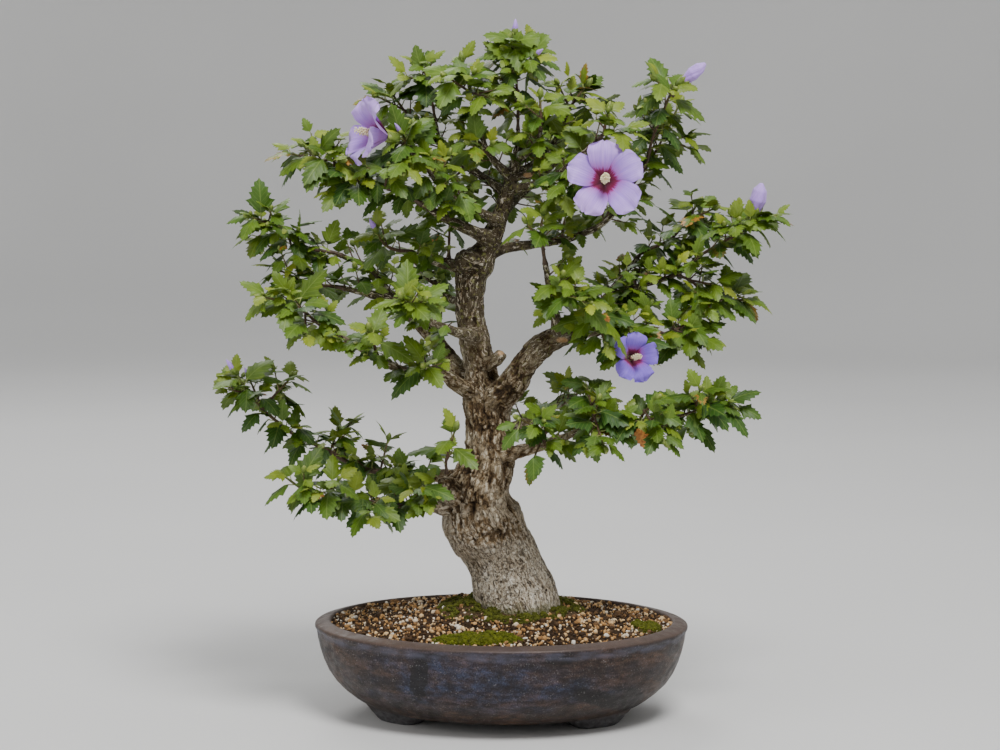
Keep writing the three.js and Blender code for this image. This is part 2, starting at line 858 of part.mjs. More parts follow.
// Leafy sprays
// The stem of a spray and its side twigs. A stem goes on from a branch's end, or stands on a branch's side.
function planSpray(spray, number) {
  const { place, radius, along, ending } = nearestWood(seen(spray.at));
  const places = spray.stem.map(seen);
  const out = ending ? along : places[0].clone().sub(place).normalize();
  const stemRadius = ending ? 0.92 * radius : Math.min(STEM_ROOT_RADIUS, 0.85 * radius);
  const off = ending ? FIT : radius + FIT + 1.2 * stemRadius * Math.abs(out.dot(along));
  const start = place.clone().addScaledVector(out, off);
  const further = places.filter((p) => p.distanceTo(start) > STEM_CLEAR);
  const route = [start, start.clone().addScaledVector(out, STEM_LEAD), ...further];
  const radii = route.map((_, i) => stemRadius + (STEM_TIP_RADIUS - stemRadius) * (i / (route.length - 1)));
  const shoots = [{ points: route, radii, key: number * 100 }];
  spray.tips.forEach((tip, k) => {
    const end = seen(tip);
    shoots.push(twigTo(end, route, number * 100 + k + 1));
  });
  return shoots;
}

// Slides a stem's foot along its first run until it stands a hair's breadth off the wood.
function seatOnWood({ points, radii }, wood) {
  const out = points[1].clone().sub(points[0]).normalize();
  for (let step = 0; step < SEATING_STEPS; step++) {
    const gap = stemSolid({ points: points.slice(0, 2), radii }, false).minGap(wood, SEATING_REACH);
    points[0].addScaledVector(out, gap > 0 ? FIT - gap : FIT);
  }
}

// A side twig leaves its stem some way back from the point nearest to its own tip.
function twigTo(end, route, key) {
  let fork = route[1];
  let least = Infinity;
  for (let i = 1; i + 1 < route.length; i++) {
    const score = Math.abs(route[i].distanceTo(end) - TWIG_REACH);
    if (score < least) {
      least = score;
      fork = route[i];
    }
  }
  return { points: [fork.clone(), end], radii: TWIG_RADII, key };
}

// How far back from a shoot's end its leaf number n stands.
function leafDistance(n) {
  return 1.2 + 3.4 * n ** 1.2;
}

// Where leaf number `leaf` of a shoot stands, and how it lies; `attempt` varies it.
function leafSite(shoot, leaf, attempt) {
  const draw = seeded(shoot.key * 97 + leaf * 13 + attempt * 5 + 1);
  for (let i = 0; i < 3; i++) draw();
  const { points } = shoot;
  let back = points.length - 1;
  let left = leafDistance(leaf);
  while (back > 1 && points[back].distanceTo(points[back - 1]) < left) {
    left -= points[back].distanceTo(points[back - 1]);
    back -= 1;
  }
  const span = points[back].distanceTo(points[back - 1]);
  const root = points[back].clone().lerp(points[back - 1], Math.min(left / span, 0.8));
  const along = points[back].clone().sub(points[back - 1]).normalize();
  const other = Math.abs(along.z) < 0.8 ? new THREE.Vector3(0, 0, 1) : new THREE.Vector3(0, -1, 0);
  const side = other.cross(along).normalize();
  const across = along.clone().cross(side);
  const turn = shoot.key * 1.3 + leaf * TURN_PER_LEAF + (draw() - 0.5) * (0.5 + 1.1 * attempt);
  const lean = Math.min(0.6 + 0.17 * leaf, 1.35) + (draw() - 0.5) * 0.3;
  const out = side.multiplyScalar(Math.cos(turn)).addScaledVector(across, Math.sin(turn));
  const stalk = out.multiplyScalar(Math.sin(lean)).addScaledVector(along, Math.cos(lean));
  stalk.z = (stalk.z < 0 ? STALK_LIFT : 1) * stalk.z + STALK_RISE;
  stalk.normalize();
  const blade = stalk.clone();
  const [droop, droopSpread, droopWithAge] = BLADE_DROOP;
  blade.z = Math.max(blade.z - droop - droopSpread * draw() - droopWithAge * leaf, STEEPEST_BLADE);
  blade.normalize();
  // A leaf's face tilts outwards, and towards the front in the front half of the crown.
  const level = Math.hypot(blade.x, blade.y) + 1e-6;
  const { middle, reach, most, least } = FACE_FRONT;
  const front = THREE.MathUtils.clamp((middle - root.y) / reach, least, most);
  const outwards = FACE_OUTWARDS / level;
  const up = new THREE.Vector3(outwards * blade.x, outwards * blade.y - front, 1);
  const normal = up.addScaledVector(blade, -up.dot(blade)).normalize();
  const lateral = normal.clone().cross(blade);
  const roll = (draw() - 0.5) * 0.7;
  normal.multiplyScalar(Math.cos(roll)).addScaledVector(lateral, Math.sin(roll));
  const length = BLADE_LENGTHS[Math.min(leaf, BLADE_LENGTHS.length - 1)] * (0.88 + 0.24 * draw());
  const stalkLength = 4.5 + Math.min(leaf, 6) * 0.9;
  return { root, stalk, blade, normal, length, stalkLength };
}

// Half of the leaf's edge, as shares of its length: side lobe, bay, tooth of the middle lobe.
const LEAF_EDGE = [
  [0.36, 0.38],
  [0.5, 0.26],
  [0.74, 0.22],
];
const LEAF_RIB = 0.46;

function leafSolid({ root, stalk, blade, normal, length, stalkLength }) {
  const lateral = normal.clone().cross(blade);
  const base = root.clone().addScaledVector(stalk, stalkLength);
  const sideways = stalk.clone().cross(normal).normalize().negate();
  const stalkUp = sideways.clone().cross(stalk).negate();
  const on = (x, y, lift = 0) =>
    base
      .clone()
      .addScaledVector(blade, x * length)
      .addScaledVector(lateral, y * length)
      .addScaledVector(normal, lift + (LEAF_FOLD * Math.abs(y) - LEAF_ARCH * x * x) * length);
  const end = (centre, y, lift) => centre.clone().addScaledVector(sideways, y).addScaledVector(stalkUp, lift);
  const w = STALK_HALF_WIDTH;
  const points = [
    end(root, w * STALK_ROOT, 0.3),
    end(root, -w * STALK_ROOT, 0.3),
    end(root, 0, -0.35),
    base.clone().addScaledVector(lateral, w).addScaledVector(normal, 0.3),
    base.clone().addScaledVector(lateral, -w).addScaledVector(normal, 0.3),
    base.clone().addScaledVector(normal, -0.8),
    on(1, 0),
    ...LEAF_EDGE.map(([x, y]) => on(x, y)),
    ...LEAF_EDGE.map(([x, y]) => on(x, -y)),
    on(LEAF_RIB, 0, 0.5 * BLADE_THICKNESS),
    on(LEAF_RIB, 0, -0.5 * BLADE_THICKNESS),
  ];
  const [stalkLeft, stalkRight, stalkLow, baseLeft, baseRight, baseLow, tip] = [0, 1, 2, 3, 4, 5, 6];
  const [left, right, upper, lower] = [7, 10, 13, 14];
  const face = (edge, from, rib) => [
    [from, edge, rib],
    [edge, edge + 1, rib],
    [edge + 1, edge + 2, rib],
    [edge + 2, tip, rib],
  ];
  const flip = (list) => list.map(([a, b, c]) => [a, c, b]);
  const triangles = [
    [stalkLeft, stalkLow, stalkRight],
    [stalkLeft, stalkRight, baseRight],
    [stalkLeft, baseRight, baseLeft],
    [stalkLeft, baseLeft, baseLow],
    [stalkLeft, baseLow, stalkLow],
    [stalkRight, stalkLow, baseLow],
    [stalkRight, baseLow, baseRight],
    [baseLeft, baseRight, upper],
    ...flip(face(left, baseLeft, upper)),
    ...face(right, baseRight, upper),
    ...face(left, baseLeft, lower),
    ...flip(face(right, baseRight, lower)),
    [baseLeft, lower, baseLow],
    [baseRight, baseLow, lower],
  ];
  return solidOf(points, triangles);
}

// Blooms
function bloomAxes(faces, turn) {
  const axis = new THREE.Vector3(...faces).normalize();
  const side = new THREE.Vector3(0, 0, 1).cross(axis).normalize();
  const over = axis.clone().cross(side);
  const a = side.clone().multiplyScalar(Math.cos(turn)).addScaledVector(over, Math.sin(turn));
  const b = axis.clone().cross(a);
  return { axis, a, b };
}

// A round turned solid along a bloom's axis: [distance along the axis, radius] for each ring.
function turnedAlong(centre, { axis, a, b }, profile, sides, twist = 0, lobes = 0) {
  const rings = profile.map(([along, radius], i) =>
    Array.from({ length: sides }, (_, s) => {
      const angle = (2 * Math.PI * s) / sides + twist * i;
      const r = radius * (1 + lobes * (s % 2 ? -1 : 1));
      return centre
        .clone()
        .addScaledVector(axis, along)
        .addScaledVector(a, r * Math.cos(angle))
        .addScaledVector(b, r * Math.sin(angle));
    }),
  );
  return loft(rings);
}

// Height of a petal above the throat's plane at a share of its length: a funnel that spreads.
function petalRise(share, radius, open) {
  const depth = radius * (0.34 + 0.75 * (1 - open));
  return depth * (Math.sin(Math.min(share * 1.25, 1) * 1.57) - 1) - 0.1 * open * radius * share ** 3 + 4 * (1 - open);
}

function petalSolid(centre, axes, { radius, open }, number) {
  const { axis, a, b } = axes;
  const angle = (2 * Math.PI * number) / PETALS;
  const out = a.clone().multiplyScalar(Math.cos(angle)).addScaledVector(b, Math.sin(angle));
  const side = axis.clone().cross(out);
  const spread = 0.62 + 0.38 * open;
  const points = [];
  PETAL_STATIONS.forEach((share, i) => {
    const along = PETAL_ROOT + (radius * spread - PETAL_ROOT) * share;
    const half = PETAL_HALF_WIDTHS[i] * radius;
    const rise = petalRise(share, radius, open);
    const ruffle = i > 1 ? 0.03 * radius * (i % 2 ? 1 : -1) : 0;
    const put = (y, lift) =>
      centre.clone().addScaledVector(out, along).addScaledVector(side, y).addScaledVector(axis, rise + lift);
    const tilt = 0.13 * half;
    points.push(put(half, tilt + ruffle + 0.08 * half), put(-half, -tilt + ruffle + 0.08 * half));
    points.push(put(0, 0.7), put(0, -0.7));
  });
  const tipRise = petalRise(1, radius, open);
  points.push(centre.clone().addScaledVector(out, radius * spread * 1.02).addScaledVector(axis, tipRise));
  const triangles = [];
  const stations = PETAL_STATIONS.length;
  for (let i = 0; i + 1 < stations; i++) {
    const [left, right, upper, lower] = [4 * i, 4 * i + 1, 4 * i + 2, 4 * i + 3];
    triangles.push([left, left + 4, upper], [left + 4, upper + 4, upper]);
    triangles.push([right, upper, right + 4], [right + 4, upper, upper + 4]);
    triangles.push([left, lower, left + 4], [left + 4, lower, lower + 4]);
    triangles.push([right, right + 4, lower], [right + 4, lower + 4, lower]);
  }
  const last = 4 * (stations - 1);
  const tip = 4 * stations;
  triangles.push([last, tip, last + 2], [last + 2, tip, last + 1]);
  triangles.push([last, last + 3, tip], [last + 3, last + 1, tip]);
  triangles.push([0, 2, 3], [2, 1, 3]);
  return solidOf(points, triangles);
}

function makeBloom(bloom) {
  const centre = seen(bloom.at);
  const axes = bloomAxes(bloom.faces, bloom.turn);
  const throat = petalRise(0, bloom.radius, bloom.open);
  const size = bloom.radius / FULL_BLOOM_RADIUS;
  let petals = turnedAlong(centre, axes, [[throat - 4 * size, 3.2 * size], [throat + 1.2, 4.6 * size]], PETALS);
  for (let k = 0; k < PETALS; k++) petals = petals.add(petalSolid(centre, axes, bloom, k));
  const foot = throat + 1.2 + FIT;
  const columnProfile = [
    [foot, 2.2 * size],
    [foot + 8 * size, 1.9 * size],
    [foot + 11 * size, 3.4 * size],
    [foot + 16 * size, 2.7 * size],
    [foot + 21 * size, 3.5 * size],
    [foot + 28 * size, 1.4 * size],
  ];
  const column = turnedAlong(centre, axes, columnProfile, 6, 0.5);
  const calyxTop = throat - 4 * size - FIT;
  return { petals, column, calyx: calyxSolid(centre, axes, calyxTop, size), centre, axes, calyxTop, size };
}

function calyxSolid(centre, axes, top, size) {
  const profile = [
    [top - CALYX_LENGTH * size, 1.7],
    [top - 0.7 * CALYX_LENGTH * size, 3.8 * size],
    [top, 5.4 * size],
  ];
  return turnedAlong(centre, axes, profile, 7);
}

function makeHalfOpen(bud) {
  const centre = seen(bud.at);
  const axes = bloomAxes(bud.faces, 0.2);
  const { length, radius } = bud;
  const profile = [
    [0, 0.62 * radius],
    [0.4 * length, radius],
    [0.75 * length, 0.8 * radius],
    [length, 0.3 * radius],
  ];
  const petals = turnedAlong(centre, axes, profile, 8, 0.35, 0.12);
  const size = radius / 6.5;
  return { petals, calyx: calyxSolid(centre, axes, -FIT, size), centre, axes, calyxTop: -FIT, size };
}

// A stem, which may end in a small closed bud: [distance past the stem's end, radius] for each ring of the bud.
const BUD = [
  [2.5, 2.9],
  [6, 2.7],
  [9.5, 0.6],
];

function stemSolid({ points, radii }, bud) {
  const end = points.at(-1);
  const along = end.clone().sub(points.at(-2)).normalize();
  const rings = bud ? BUD : [];
  const route = [...points, ...rings.map(([distance]) => end.clone().addScaledVector(along, distance))];
  return tube(route, [...radii, ...rings.map(([, radius]) => radius)], STEM_SIDES);
}

// Assembly
const solids = new Map();
const colours = {
  pot: [0x5b5350, 0.42],
  soil: [0x6b513a, 0.95],
  moss: [0x7c8a2c, 0.95],
  wood: [0x85776a, 0.9],
  leaf: [0x4c7a2c, 0.55],
  petal: [0xb9a2dd, 0.6],
  column: [0xf1ecc9, 0.7],
};

let soil = makeSoilBlock();
for (const [name, moss] of Object.entries(MOSS)) {
  const hole = columnAt(BASE_CENTRE, BASE_RADII.map((r) => r + FIT), [BASE_BOTTOM, MOUND_TOP + 30]);
  solids.set(name, { solid: mossSolid(moss, 0).subtract(hole), finish: "moss" });
  soil = soil.subtract(mossSolid(moss, FIT));
}
solids.set("pot", { solid: makePot(), finish: "pot" });
solids.set("soil", { solid: mainBody(soil), finish: "soil" });

const blooms = {};
for (const [name, bloom] of Object.entries(BLOOMS)) {
  blooms[name] = makeBloom(bloom);
  solids.set(`bloom_${name}_petals`, { solid: blooms[name].petals, finish: "petal" });
  solids.set(`bloom_${name}_column`, { solid: mainBody(blooms[name].column), finish: "column" });
}
for (const [name, bud] of Object.entries(HALF_OPEN)) {
  blooms[name] = makeHalfOpen(bud);
  solids.set(`${name}_petals`, { solid: blooms[name].petals, finish: "petal" });
}

const wood = makeWood();
solids.set("wood", { solid: wood, finish: "wood" });
const sprays = Object.entries(SPRAYS).map(([name, spray], i) => ({ name, spray, shoots: planSpray(spray, i + 1) }));

// Stems first, so that every leaf keeps clear of them.
for (const item of sprays) {
  const { spray, shoots } = item;
  const main = shoots[0];
  seatOnWood(main, wood);
  let body;
  if (spray.bloom) {
    const { calyx, centre, axes, calyxTop, size } = blooms[spray.bloom];
    const foot = centre.clone().addScaledVector(axes.axis, calyxTop - 0.6 * CALYX_LENGTH * size);
    const before = foot.clone().addScaledVector(axes.axis, -BLOOM_APPROACH);
    main.points = [...main.points.filter((p) => p.distanceTo(foot) > BLOOM_APPROACH + 3), before, foot];
    main.radii = main.points.map((_, k) => main.radii[0] + (1.1 - main.radii[0]) * (k / (main.points.length - 1)));
    body = stemSolid(main, false).add(calyx);
  } else {
    body = stemSolid(main, spray.bud);
  }
  for (const twig of shoots.slice(1)) body = body.add(stemSolid(twig, false));
  item.body = body;
  solids.set(`spray_${item.name}`, { solid: body, finish: "leaf" });
}

function near(boxA, boxB, gap) {
  return [0, 1, 2].every((k) => boxA.min[k] - gap < boxB.max[k] && boxB.min[k] - gap < boxA.max[k]);
}

// A leaf is taken where its blade is clear of everything else that is already there.
function clearOf(leaf, own, name) {
  const box = leaf.boundingBox();
  for (const [other, { solid }] of solids) {
    if (other === name || !near(box, solid.boundingBox(), LEAF_GAP)) continue;
    if (leaf.minGap(solid, LEAF_GAP * 2) < LEAF_GAP) return false;
  }
  return own.every((blade) => !near(box, blade.boundingBox(), 0) || leaf.minGap(blade, 0.4) > 0.05);
}

// A long stem carries leaves all along it, besides those near its tip.
function leavesOnStem({ points }, inner) {
  const length = points.slice(1).reduce((sum, p, i) => sum + p.distanceTo(points[i]), 0);
  const numbers = inner ? [2, 4] : [...LEAVES_ON_STEM];
  for (let n = 8; leafDistance(n) < length - 12; n += 4) numbers.push(n);
  return numbers;
}

for (const item of sprays) {
  const name = `spray_${item.name}`;
  const own = [];
  let body = item.body;
  item.shoots.forEach((shoot, k) => {
    for (const number of k === 0 ? leavesOnStem(shoot, item.shoots.length === 1) : LEAVES_ON_TWIG) {
      for (let attempt = 0; attempt < LEAF_TRIES; attempt++) {
        const leaf = leafSolid(leafSite(shoot, number, attempt));
        if (!clearOf(leaf, own, name)) continue;
        own.push(leaf);
        break;
      }
    }
  });
  for (const leaf of own) body = body.add(leaf);
  solids.get(name).solid = mainBody(body);
}

const group = new THREE.Group();
for (const [name, { solid, finish }] of solids) {
  const [color, roughness] = colours[finish];
  const material = new THREE.MeshStandardMaterial({ color, roughness, metalness: 0 });
  const mesh = new THREE.Mesh(geometryOf(solid), material);
  mesh.name = name;
  group.add(mesh);
}

// The origin is the middle of the whole object's footprint, at the level it stands on.
const bounds = new THREE.Box3().setFromObject(group);
group.position.set(-0.5 * (bounds.min.x + bounds.max.x), -0.5 * (bounds.min.y + bounds.max.y), -bounds.min.z);

export default group;
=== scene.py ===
# Looks of the rose of sharon bonsai: bark, leaves, blooms, glaze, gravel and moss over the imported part.
import math
from collections import namedtuple

import bpy
import numpy as np
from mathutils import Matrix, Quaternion, Vector, noise
from mathutils.bvhtree import BVHTree
from mathutils.geometry import delaunay_2d_cdt


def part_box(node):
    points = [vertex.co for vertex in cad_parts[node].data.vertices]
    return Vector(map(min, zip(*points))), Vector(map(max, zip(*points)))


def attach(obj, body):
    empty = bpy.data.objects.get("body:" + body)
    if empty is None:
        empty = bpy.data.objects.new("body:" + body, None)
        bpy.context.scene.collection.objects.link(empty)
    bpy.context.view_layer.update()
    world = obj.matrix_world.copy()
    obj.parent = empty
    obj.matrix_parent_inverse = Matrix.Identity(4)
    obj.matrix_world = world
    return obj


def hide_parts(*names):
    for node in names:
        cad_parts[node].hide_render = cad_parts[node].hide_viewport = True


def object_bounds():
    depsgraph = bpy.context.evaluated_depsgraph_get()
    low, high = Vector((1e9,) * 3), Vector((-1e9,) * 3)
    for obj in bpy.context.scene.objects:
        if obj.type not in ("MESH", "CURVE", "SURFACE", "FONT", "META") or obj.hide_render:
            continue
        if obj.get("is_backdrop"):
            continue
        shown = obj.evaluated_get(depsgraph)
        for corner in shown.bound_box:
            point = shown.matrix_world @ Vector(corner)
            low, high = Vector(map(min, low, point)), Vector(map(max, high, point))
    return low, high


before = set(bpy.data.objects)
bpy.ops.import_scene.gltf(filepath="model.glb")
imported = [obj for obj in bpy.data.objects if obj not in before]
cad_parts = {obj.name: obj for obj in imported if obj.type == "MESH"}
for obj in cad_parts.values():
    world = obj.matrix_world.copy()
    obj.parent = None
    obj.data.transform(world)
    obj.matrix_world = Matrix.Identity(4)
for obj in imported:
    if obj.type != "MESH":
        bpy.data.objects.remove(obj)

cad_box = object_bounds()

# All shapes are worked out in millimetres from the middle of the pot, and moved into the frame at the end.
MM = 0.001
POT_LOW, POT_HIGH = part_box("pot")
SHIFT = np.array([(POT_LOW.x + POT_HIGH.x) / 2, (POT_LOW.y + POT_HIGH.y) / 2, 0.0]) / MM
RIGHT, AWAY, UP = np.eye(3)
FULL_TURN = 2 * math.pi
GOLDEN_TURN = 2.39996

# Pot: an oval bowl with a rolled rim on four low feet. Its section is [distance from the middle, height].
OVAL = 275 / 360
POT_HEIGHT = 93
POT_TURN = math.radians(-5)
POT_SECTION = [
    (108, 9.5), (119, 10.4), (129, 12.5), (137, 16), (144, 20.5), (153, 27.6), (161, 35.5), (167.4, 45),
    (172, 55.5), (175.3, 66), (177.5, 76), (178.3, 82), (178.6, 84.6), (179.4, 85.4), (180.1, 86.4),
    (180.3, 88), (179.9, 89.4), (178.6, 90.2), (174, 91.6), (169, 92.8), (167.2, 93.1), (166, 92.8),
    (165.2, 91.6), (164.5, 88), (163, 78), (160, 64), (155, 50), (146, 37), (130, 26), (108, 18),
]
POT_STEP = 2.6
POT_SPOKES = 180
WALL_INSIDE = 166
FOOT_TOP = 20
FOOT_PLACE = (94, 41)
FOOT_SIZE = (44, 22)
FOOT_CORNERS = [(-0.5, -0.5), (0.5, -0.5), (0.5, 0.2), (0.36, 0.5), (-0.36, 0.5), (-0.5, 0.2)]
FOOT_TURN = math.radians(35)
FOOT_SPLAY = 0.9
DRAIN_RADIUS = 11
DRAIN_OFFSET = 62
DRAIN_SIDES = 24
BLUE_MIDDLE, BLUE_REACH = -8, 104
BACK_BLUE_MIDDLE, BACK_BLUE_REACH = 30, 90
# Dark stains on the glaze, as the front view shows them: [across, down, half width, half height, lean].
STAINS = [(419, 677, 9, 24, -4), (607, 701, 36, 8, -14), (634, 694, 10, 6, -20), (560, 660, 16, 5, 0)]

# Soil and moss.
MOUND_CENTRE = (8, 42)
MOUND_TOP = 111
MOUND_SPREAD = 70
SOIL_EDGE = 90
SOIL_SWELL = 6
SOIL_HALF_WIDTH = 163.4
SOIL_OUTER = 164.6
SOIL_WALL = [(159, 64), (144, 37), (107, 18.4)]
SOIL_SPOKES, SOIL_RINGS = 160, 64
GRAVEL_SEED, MOSS_SEED = 90210, 1009
STONE_STRETCH, STONE_SINK, STONE_JITTER, TUFT_JITTER = (0.62, 0.7), (0.15, 0.35), (0.84, 0.3), (0.6, 0.8)
TUFT_SIZE, TUFT_LIFT, MOSS_EDGE = (0.7, 0.9), 0.3, (0.88, 0.24)
SMALLER_STONES = 1.6
CUSHION_SPOKES, CUSHION_RINGS = 96, 26
TUFT_SHAPE = np.array([1, 1, 1.3])
Moss = namedtuple("Moss", "centre radii sides seed rise tufts bright patchy")
MOSS = {
    "moss_round_trunk": Moss((10, 12), (72, 56), 18, 11, 4, 5200, 0.25, 1.0),
    "moss_front": Moss((-21, -98), (41, 17), 12, 12, 4, 1900, 0.9, 0.6),
    "moss_right": Moss((137, -36), (15, 22), 10, 13, 3.5, 800, 0.55, 0.7),
}

# Trunk base: an oval column where it stands in the soil.
BASE_CENTRE = (19, 12)
BASE_RADII = (37, 33)
CLEAR_OF_TRUNK = 1.02

# Leaves: arched, their sides drooping a little from the midrib. Numbers count back from a shoot's tip.
LEAF_ARCH = 0.24
LEAF_FOLD = -0.08
STALK_LIFT = 0.4
STALK_RISE = 0.2
BLADE_DROOP = (0.2, 0.35, 0.04)
STEEPEST_BLADE = -0.6
FACE_OUTWARDS = 0.45
FRONT_MIDDLE = 60
FRONT_REACH = 100
FRONT_LIMITS = (-0.4, 0.55)
BLADE_LENGTHS = (15, 21, 26, 30, 33, 33, 31, 29, 27)
EXTRA_LENGTHS = (19, 22, 27, 29, 31)
SOLID_ON_STEM = (1, 3, 4)
SOLID_ON_SHORT_STEM = (2, 4)
SOLID_ON_TWIG = (2,)
SOLID_LOBE = (0.36, 0.38)
# A pair is the least value and how much chance adds to it.
BLADE_SIZE, BLADE_WIDTH = (0.88, 0.24), (0.92, 0.25)
TURN_SPREAD, TURN_SPREAD_BY_TRY, LEAN_SPREAD, ROLL_SPREAD = 0.5, 1.1, 0.3, 0.7
LEAF_AGE, AGE_PER_LEAF, AGE_SPREAD = 0.04, 0.13, 0.3
WAVE_HEIGHT, WAVES, QUILT_HEIGHT, QUILTS = 0.03, 13, 0.01, 41
BLADE_SAG, BLADE_CUP, BLADE_TWIST, BLADE_BEND = 0.12, (0.15, 0.4), 0.4, 0.16
LEAF_GAP, LEAF_GAP_GROWTH, LEAF_GAP_POWER = 1.2, 3.4, 1.2
STALK_LENGTH, STALK_GROWTH = 4.5, 0.9
LEAF_LEAN, LEAN_GROWTH, MOST_LEAN = 0.6, 0.17, 1.35
STALK_RADII, SMALL_STALK_RADII = (0.75, 0.5, 0.55), (0.6, 0.42, 0.48)
ON_SOLID = 0.9
LEAF_TRIES = 5
HALF_THICKNESS = 0.16
# Half of the blade's edge, as shares of its length: a round base, a side lobe, then coarse blunt teeth.
LEAF_EDGE = np.array([
    (0.0, 0.014), (0.05, 0.1), (0.125, 0.2), (0.175, 0.21), (0.25, 0.31), (0.285, 0.3), (0.37, 0.4),
    (0.4, 0.31), (0.44, 0.235), (0.51, 0.255), (0.585, 0.305), (0.61, 0.21), (0.675, 0.215), (0.745, 0.24),
    (0.77, 0.14), (0.83, 0.145), (0.885, 0.135), (0.91, 0.06), (1.0, 0.0),
])
SMALL_EDGE = LEAF_EDGE[[0, 2, 4, 6, 8, 10, 11, 13, 14, 16, 18]]
MID_ROW = 0.52

# Stems and side shoots.
STEM_TIP_RADIUS = 1.15
STEM_ROOT_RADIUS = 1.9
STEM_LEAD = 4
STEM_CLEAR = 7
TWIG_RADII = (1.3, 1.05)
TWIG_REACH = 30
STEM_SIDES, STEM_STEP, STEM_SINK = 7, 4.0, 2.5
SHOOT_RADII, SHOOT_SIDES = (0.85, 0.7, 0.55), 5
SHOOT_REACH, SHOOT_REACH_SPREAD = 11, 13
SHOOT_BLADE, SHOOT_BLADE_GROWTH = 13, 2.6
SHOOT_BUDS, TWIG_BUDS, MAIN_BUD_SIZE = 0.55, 0.8, 1.1
SHOOT_BUD, TWIG_BUD, SMALL_BUD = (0.55, 0.4), (0.75, 0.35), (0.45, 0.3)
SPRAY_SEED, INNER_SEED, BRANCH_SEED = 7717, 3331, 4441
SPRAY_KEYS, STEM_KEYS, INNER_KEYS, BRANCH_KEYS = 10000, 1000, 900000, 990000
TRUNK_CLEAR_DEPTH, BLOOM_CLEAR, CLEAR_OF_SHOOT = 12, 0.85, 4.0
SHOOT_SPACING = 12.0
INNER_SPACING = 9.0
INNER_THICKEST = 6.2
OVERHANG = 2
FIT = 0.3

# Blooms: place of the throat, where the flower faces, its radius, and how wide it opens (1 is flat).
PETALS = 5
PETAL_ROOT = 2.5
PETAL_ROWS = 23
PETAL_COLUMNS = 15
PETAL_OUTLINE = np.array([
    (0, 0.08), (0.12, 0.18), (0.25, 0.28), (0.4, 0.35), (0.55, 0.385), (0.7, 0.4), (0.84, 0.385), (0.94, 0.3),
    (1, 0.13),
])
HALF_PETAL = 0.25
BOWL_DEPTH, CLOSED_BOWL, CLOSED_LIFT, PETAL_DROOP = 0.34, 0.75, 4, 0.1
PETAL_SPREAD, OPEN_SPREAD, PETAL_ROUNDING, NOTCH_DEPTH, NOTCH_WIDTH = 0.62, 0.38, 0.06, 0.055, 0.22
RUFFLE_HEIGHT, RUFFLES, FRILL_HEIGHT, FRILLS, EDGE_WAVE, EDGE_WAVES = 0.04, 19, 0.03, 7.5, 0.045, 23
FOLD_DEPTH, FOLD_WIDTH, TIP_CURL, PETAL_CUP, PETAL_SWAY = 0.02, 0.12, 0.09, (0.13, 0.09), 0.05
BLOOM_SEED = 31
COLUMN_PROFILE = [(0, 2.2), (3, 1.5), (8, 1.3), (14, 1.2), (22, 1.1), (28, 0.9), (30, 0.5)]
ANTHERS = 74
CALYX_LENGTH = 10
CALYX_SIDES, CALYX_BRACTS, BUD_SIDES, BUD_BRACTS = 30, 8, 10, 7
COLUMN_FOOT, COLUMN_SIDES, STIGMAS = 1.2, 12, 5
WOUND_RINGS, WOUND_SIDES, WOUND_TWIST = 26, 40, 0.055
CALYX_PROFILE = [(0, 1.5), (0.15, 2.6), (0.4, 4.0), (0.7, 4.9), (1.0, 5.3), (1.25, 5.6), (1.5, 5.5)]
BUD_PROFILE = [(-1.5, 0.9), (0.4, 1.6), (2.0, 2.5), (4.2, 2.9), (6.2, 2.55), (8.0, 1.5), (9.3, 0.35)]
FULL_BLOOM_RADIUS = 39
HALF_OPEN_RADIUS = 6.5
BLOOM_APPROACH = 9
Bloom = namedtuple("Bloom", "at faces radius open turn reach sways cool", defaults=(False,))
BLOOMS = {
    "front": Bloom(
        (605, 179, -66), (0, -1, 0.2), 39, 0.92, 0.3, 1.0, (0.18, 0.03, -0.04, 0.07, 0.22)),
    "side": Bloom(
        (362, 131, -72), (-0.88, -0.4, 0.2), 37, 0.5, 0.9, 1.1, (0.1, -0.12, 0.14, 0.0, -0.1)),
    # The small bloom is tinted a darker blue-violet: painted shade.
    "small": Bloom(
        (636, 357, -36), (0.35, -0.92, 0.16), 27, 0.8, 0.1, 1.0, (0.05, 0.1, -0.08, 0.05, -0.06), True),
}
HalfOpen = namedtuple("HalfOpen", "at faces length radius turn", defaults=(0.2,))
HALF_OPEN = {
    "upper_bud": HalfOpen((684, 81, -5), (0.75, -0.1, 0.62), 26, 6),
    "far_bud": HalfOpen((755, 211.5, 11), (0.2, -0.15, 0.95), 28, 7.5),
}

# The front view: an eye 2.45 m away that looks down at 6 degrees. A place is [across, down, depth]: two
# pixels of a 1000 x 750 picture, and millimetres away from the viewer, which CROWN_SPREAD widens.
CROWN_SPREAD = 1.45
VIEW_DISTANCE = 2450
VIEW_TILT = math.radians(6)
VIEW_TARGET_HEIGHT = 330
VIEW_FOCAL = 2558
VIEW_CENTRE = (501, 375)
PICTURE_WIDTH = 1000
SENSOR_WIDTH = 36
LOOK_DOWN, LOOK_ALONG = math.sin(VIEW_TILT), math.cos(VIEW_TILT)
EYE = np.array([0.0, -VIEW_DISTANCE * LOOK_ALONG, VIEW_TARGET_HEIGHT + VIEW_DISTANCE * LOOK_DOWN])

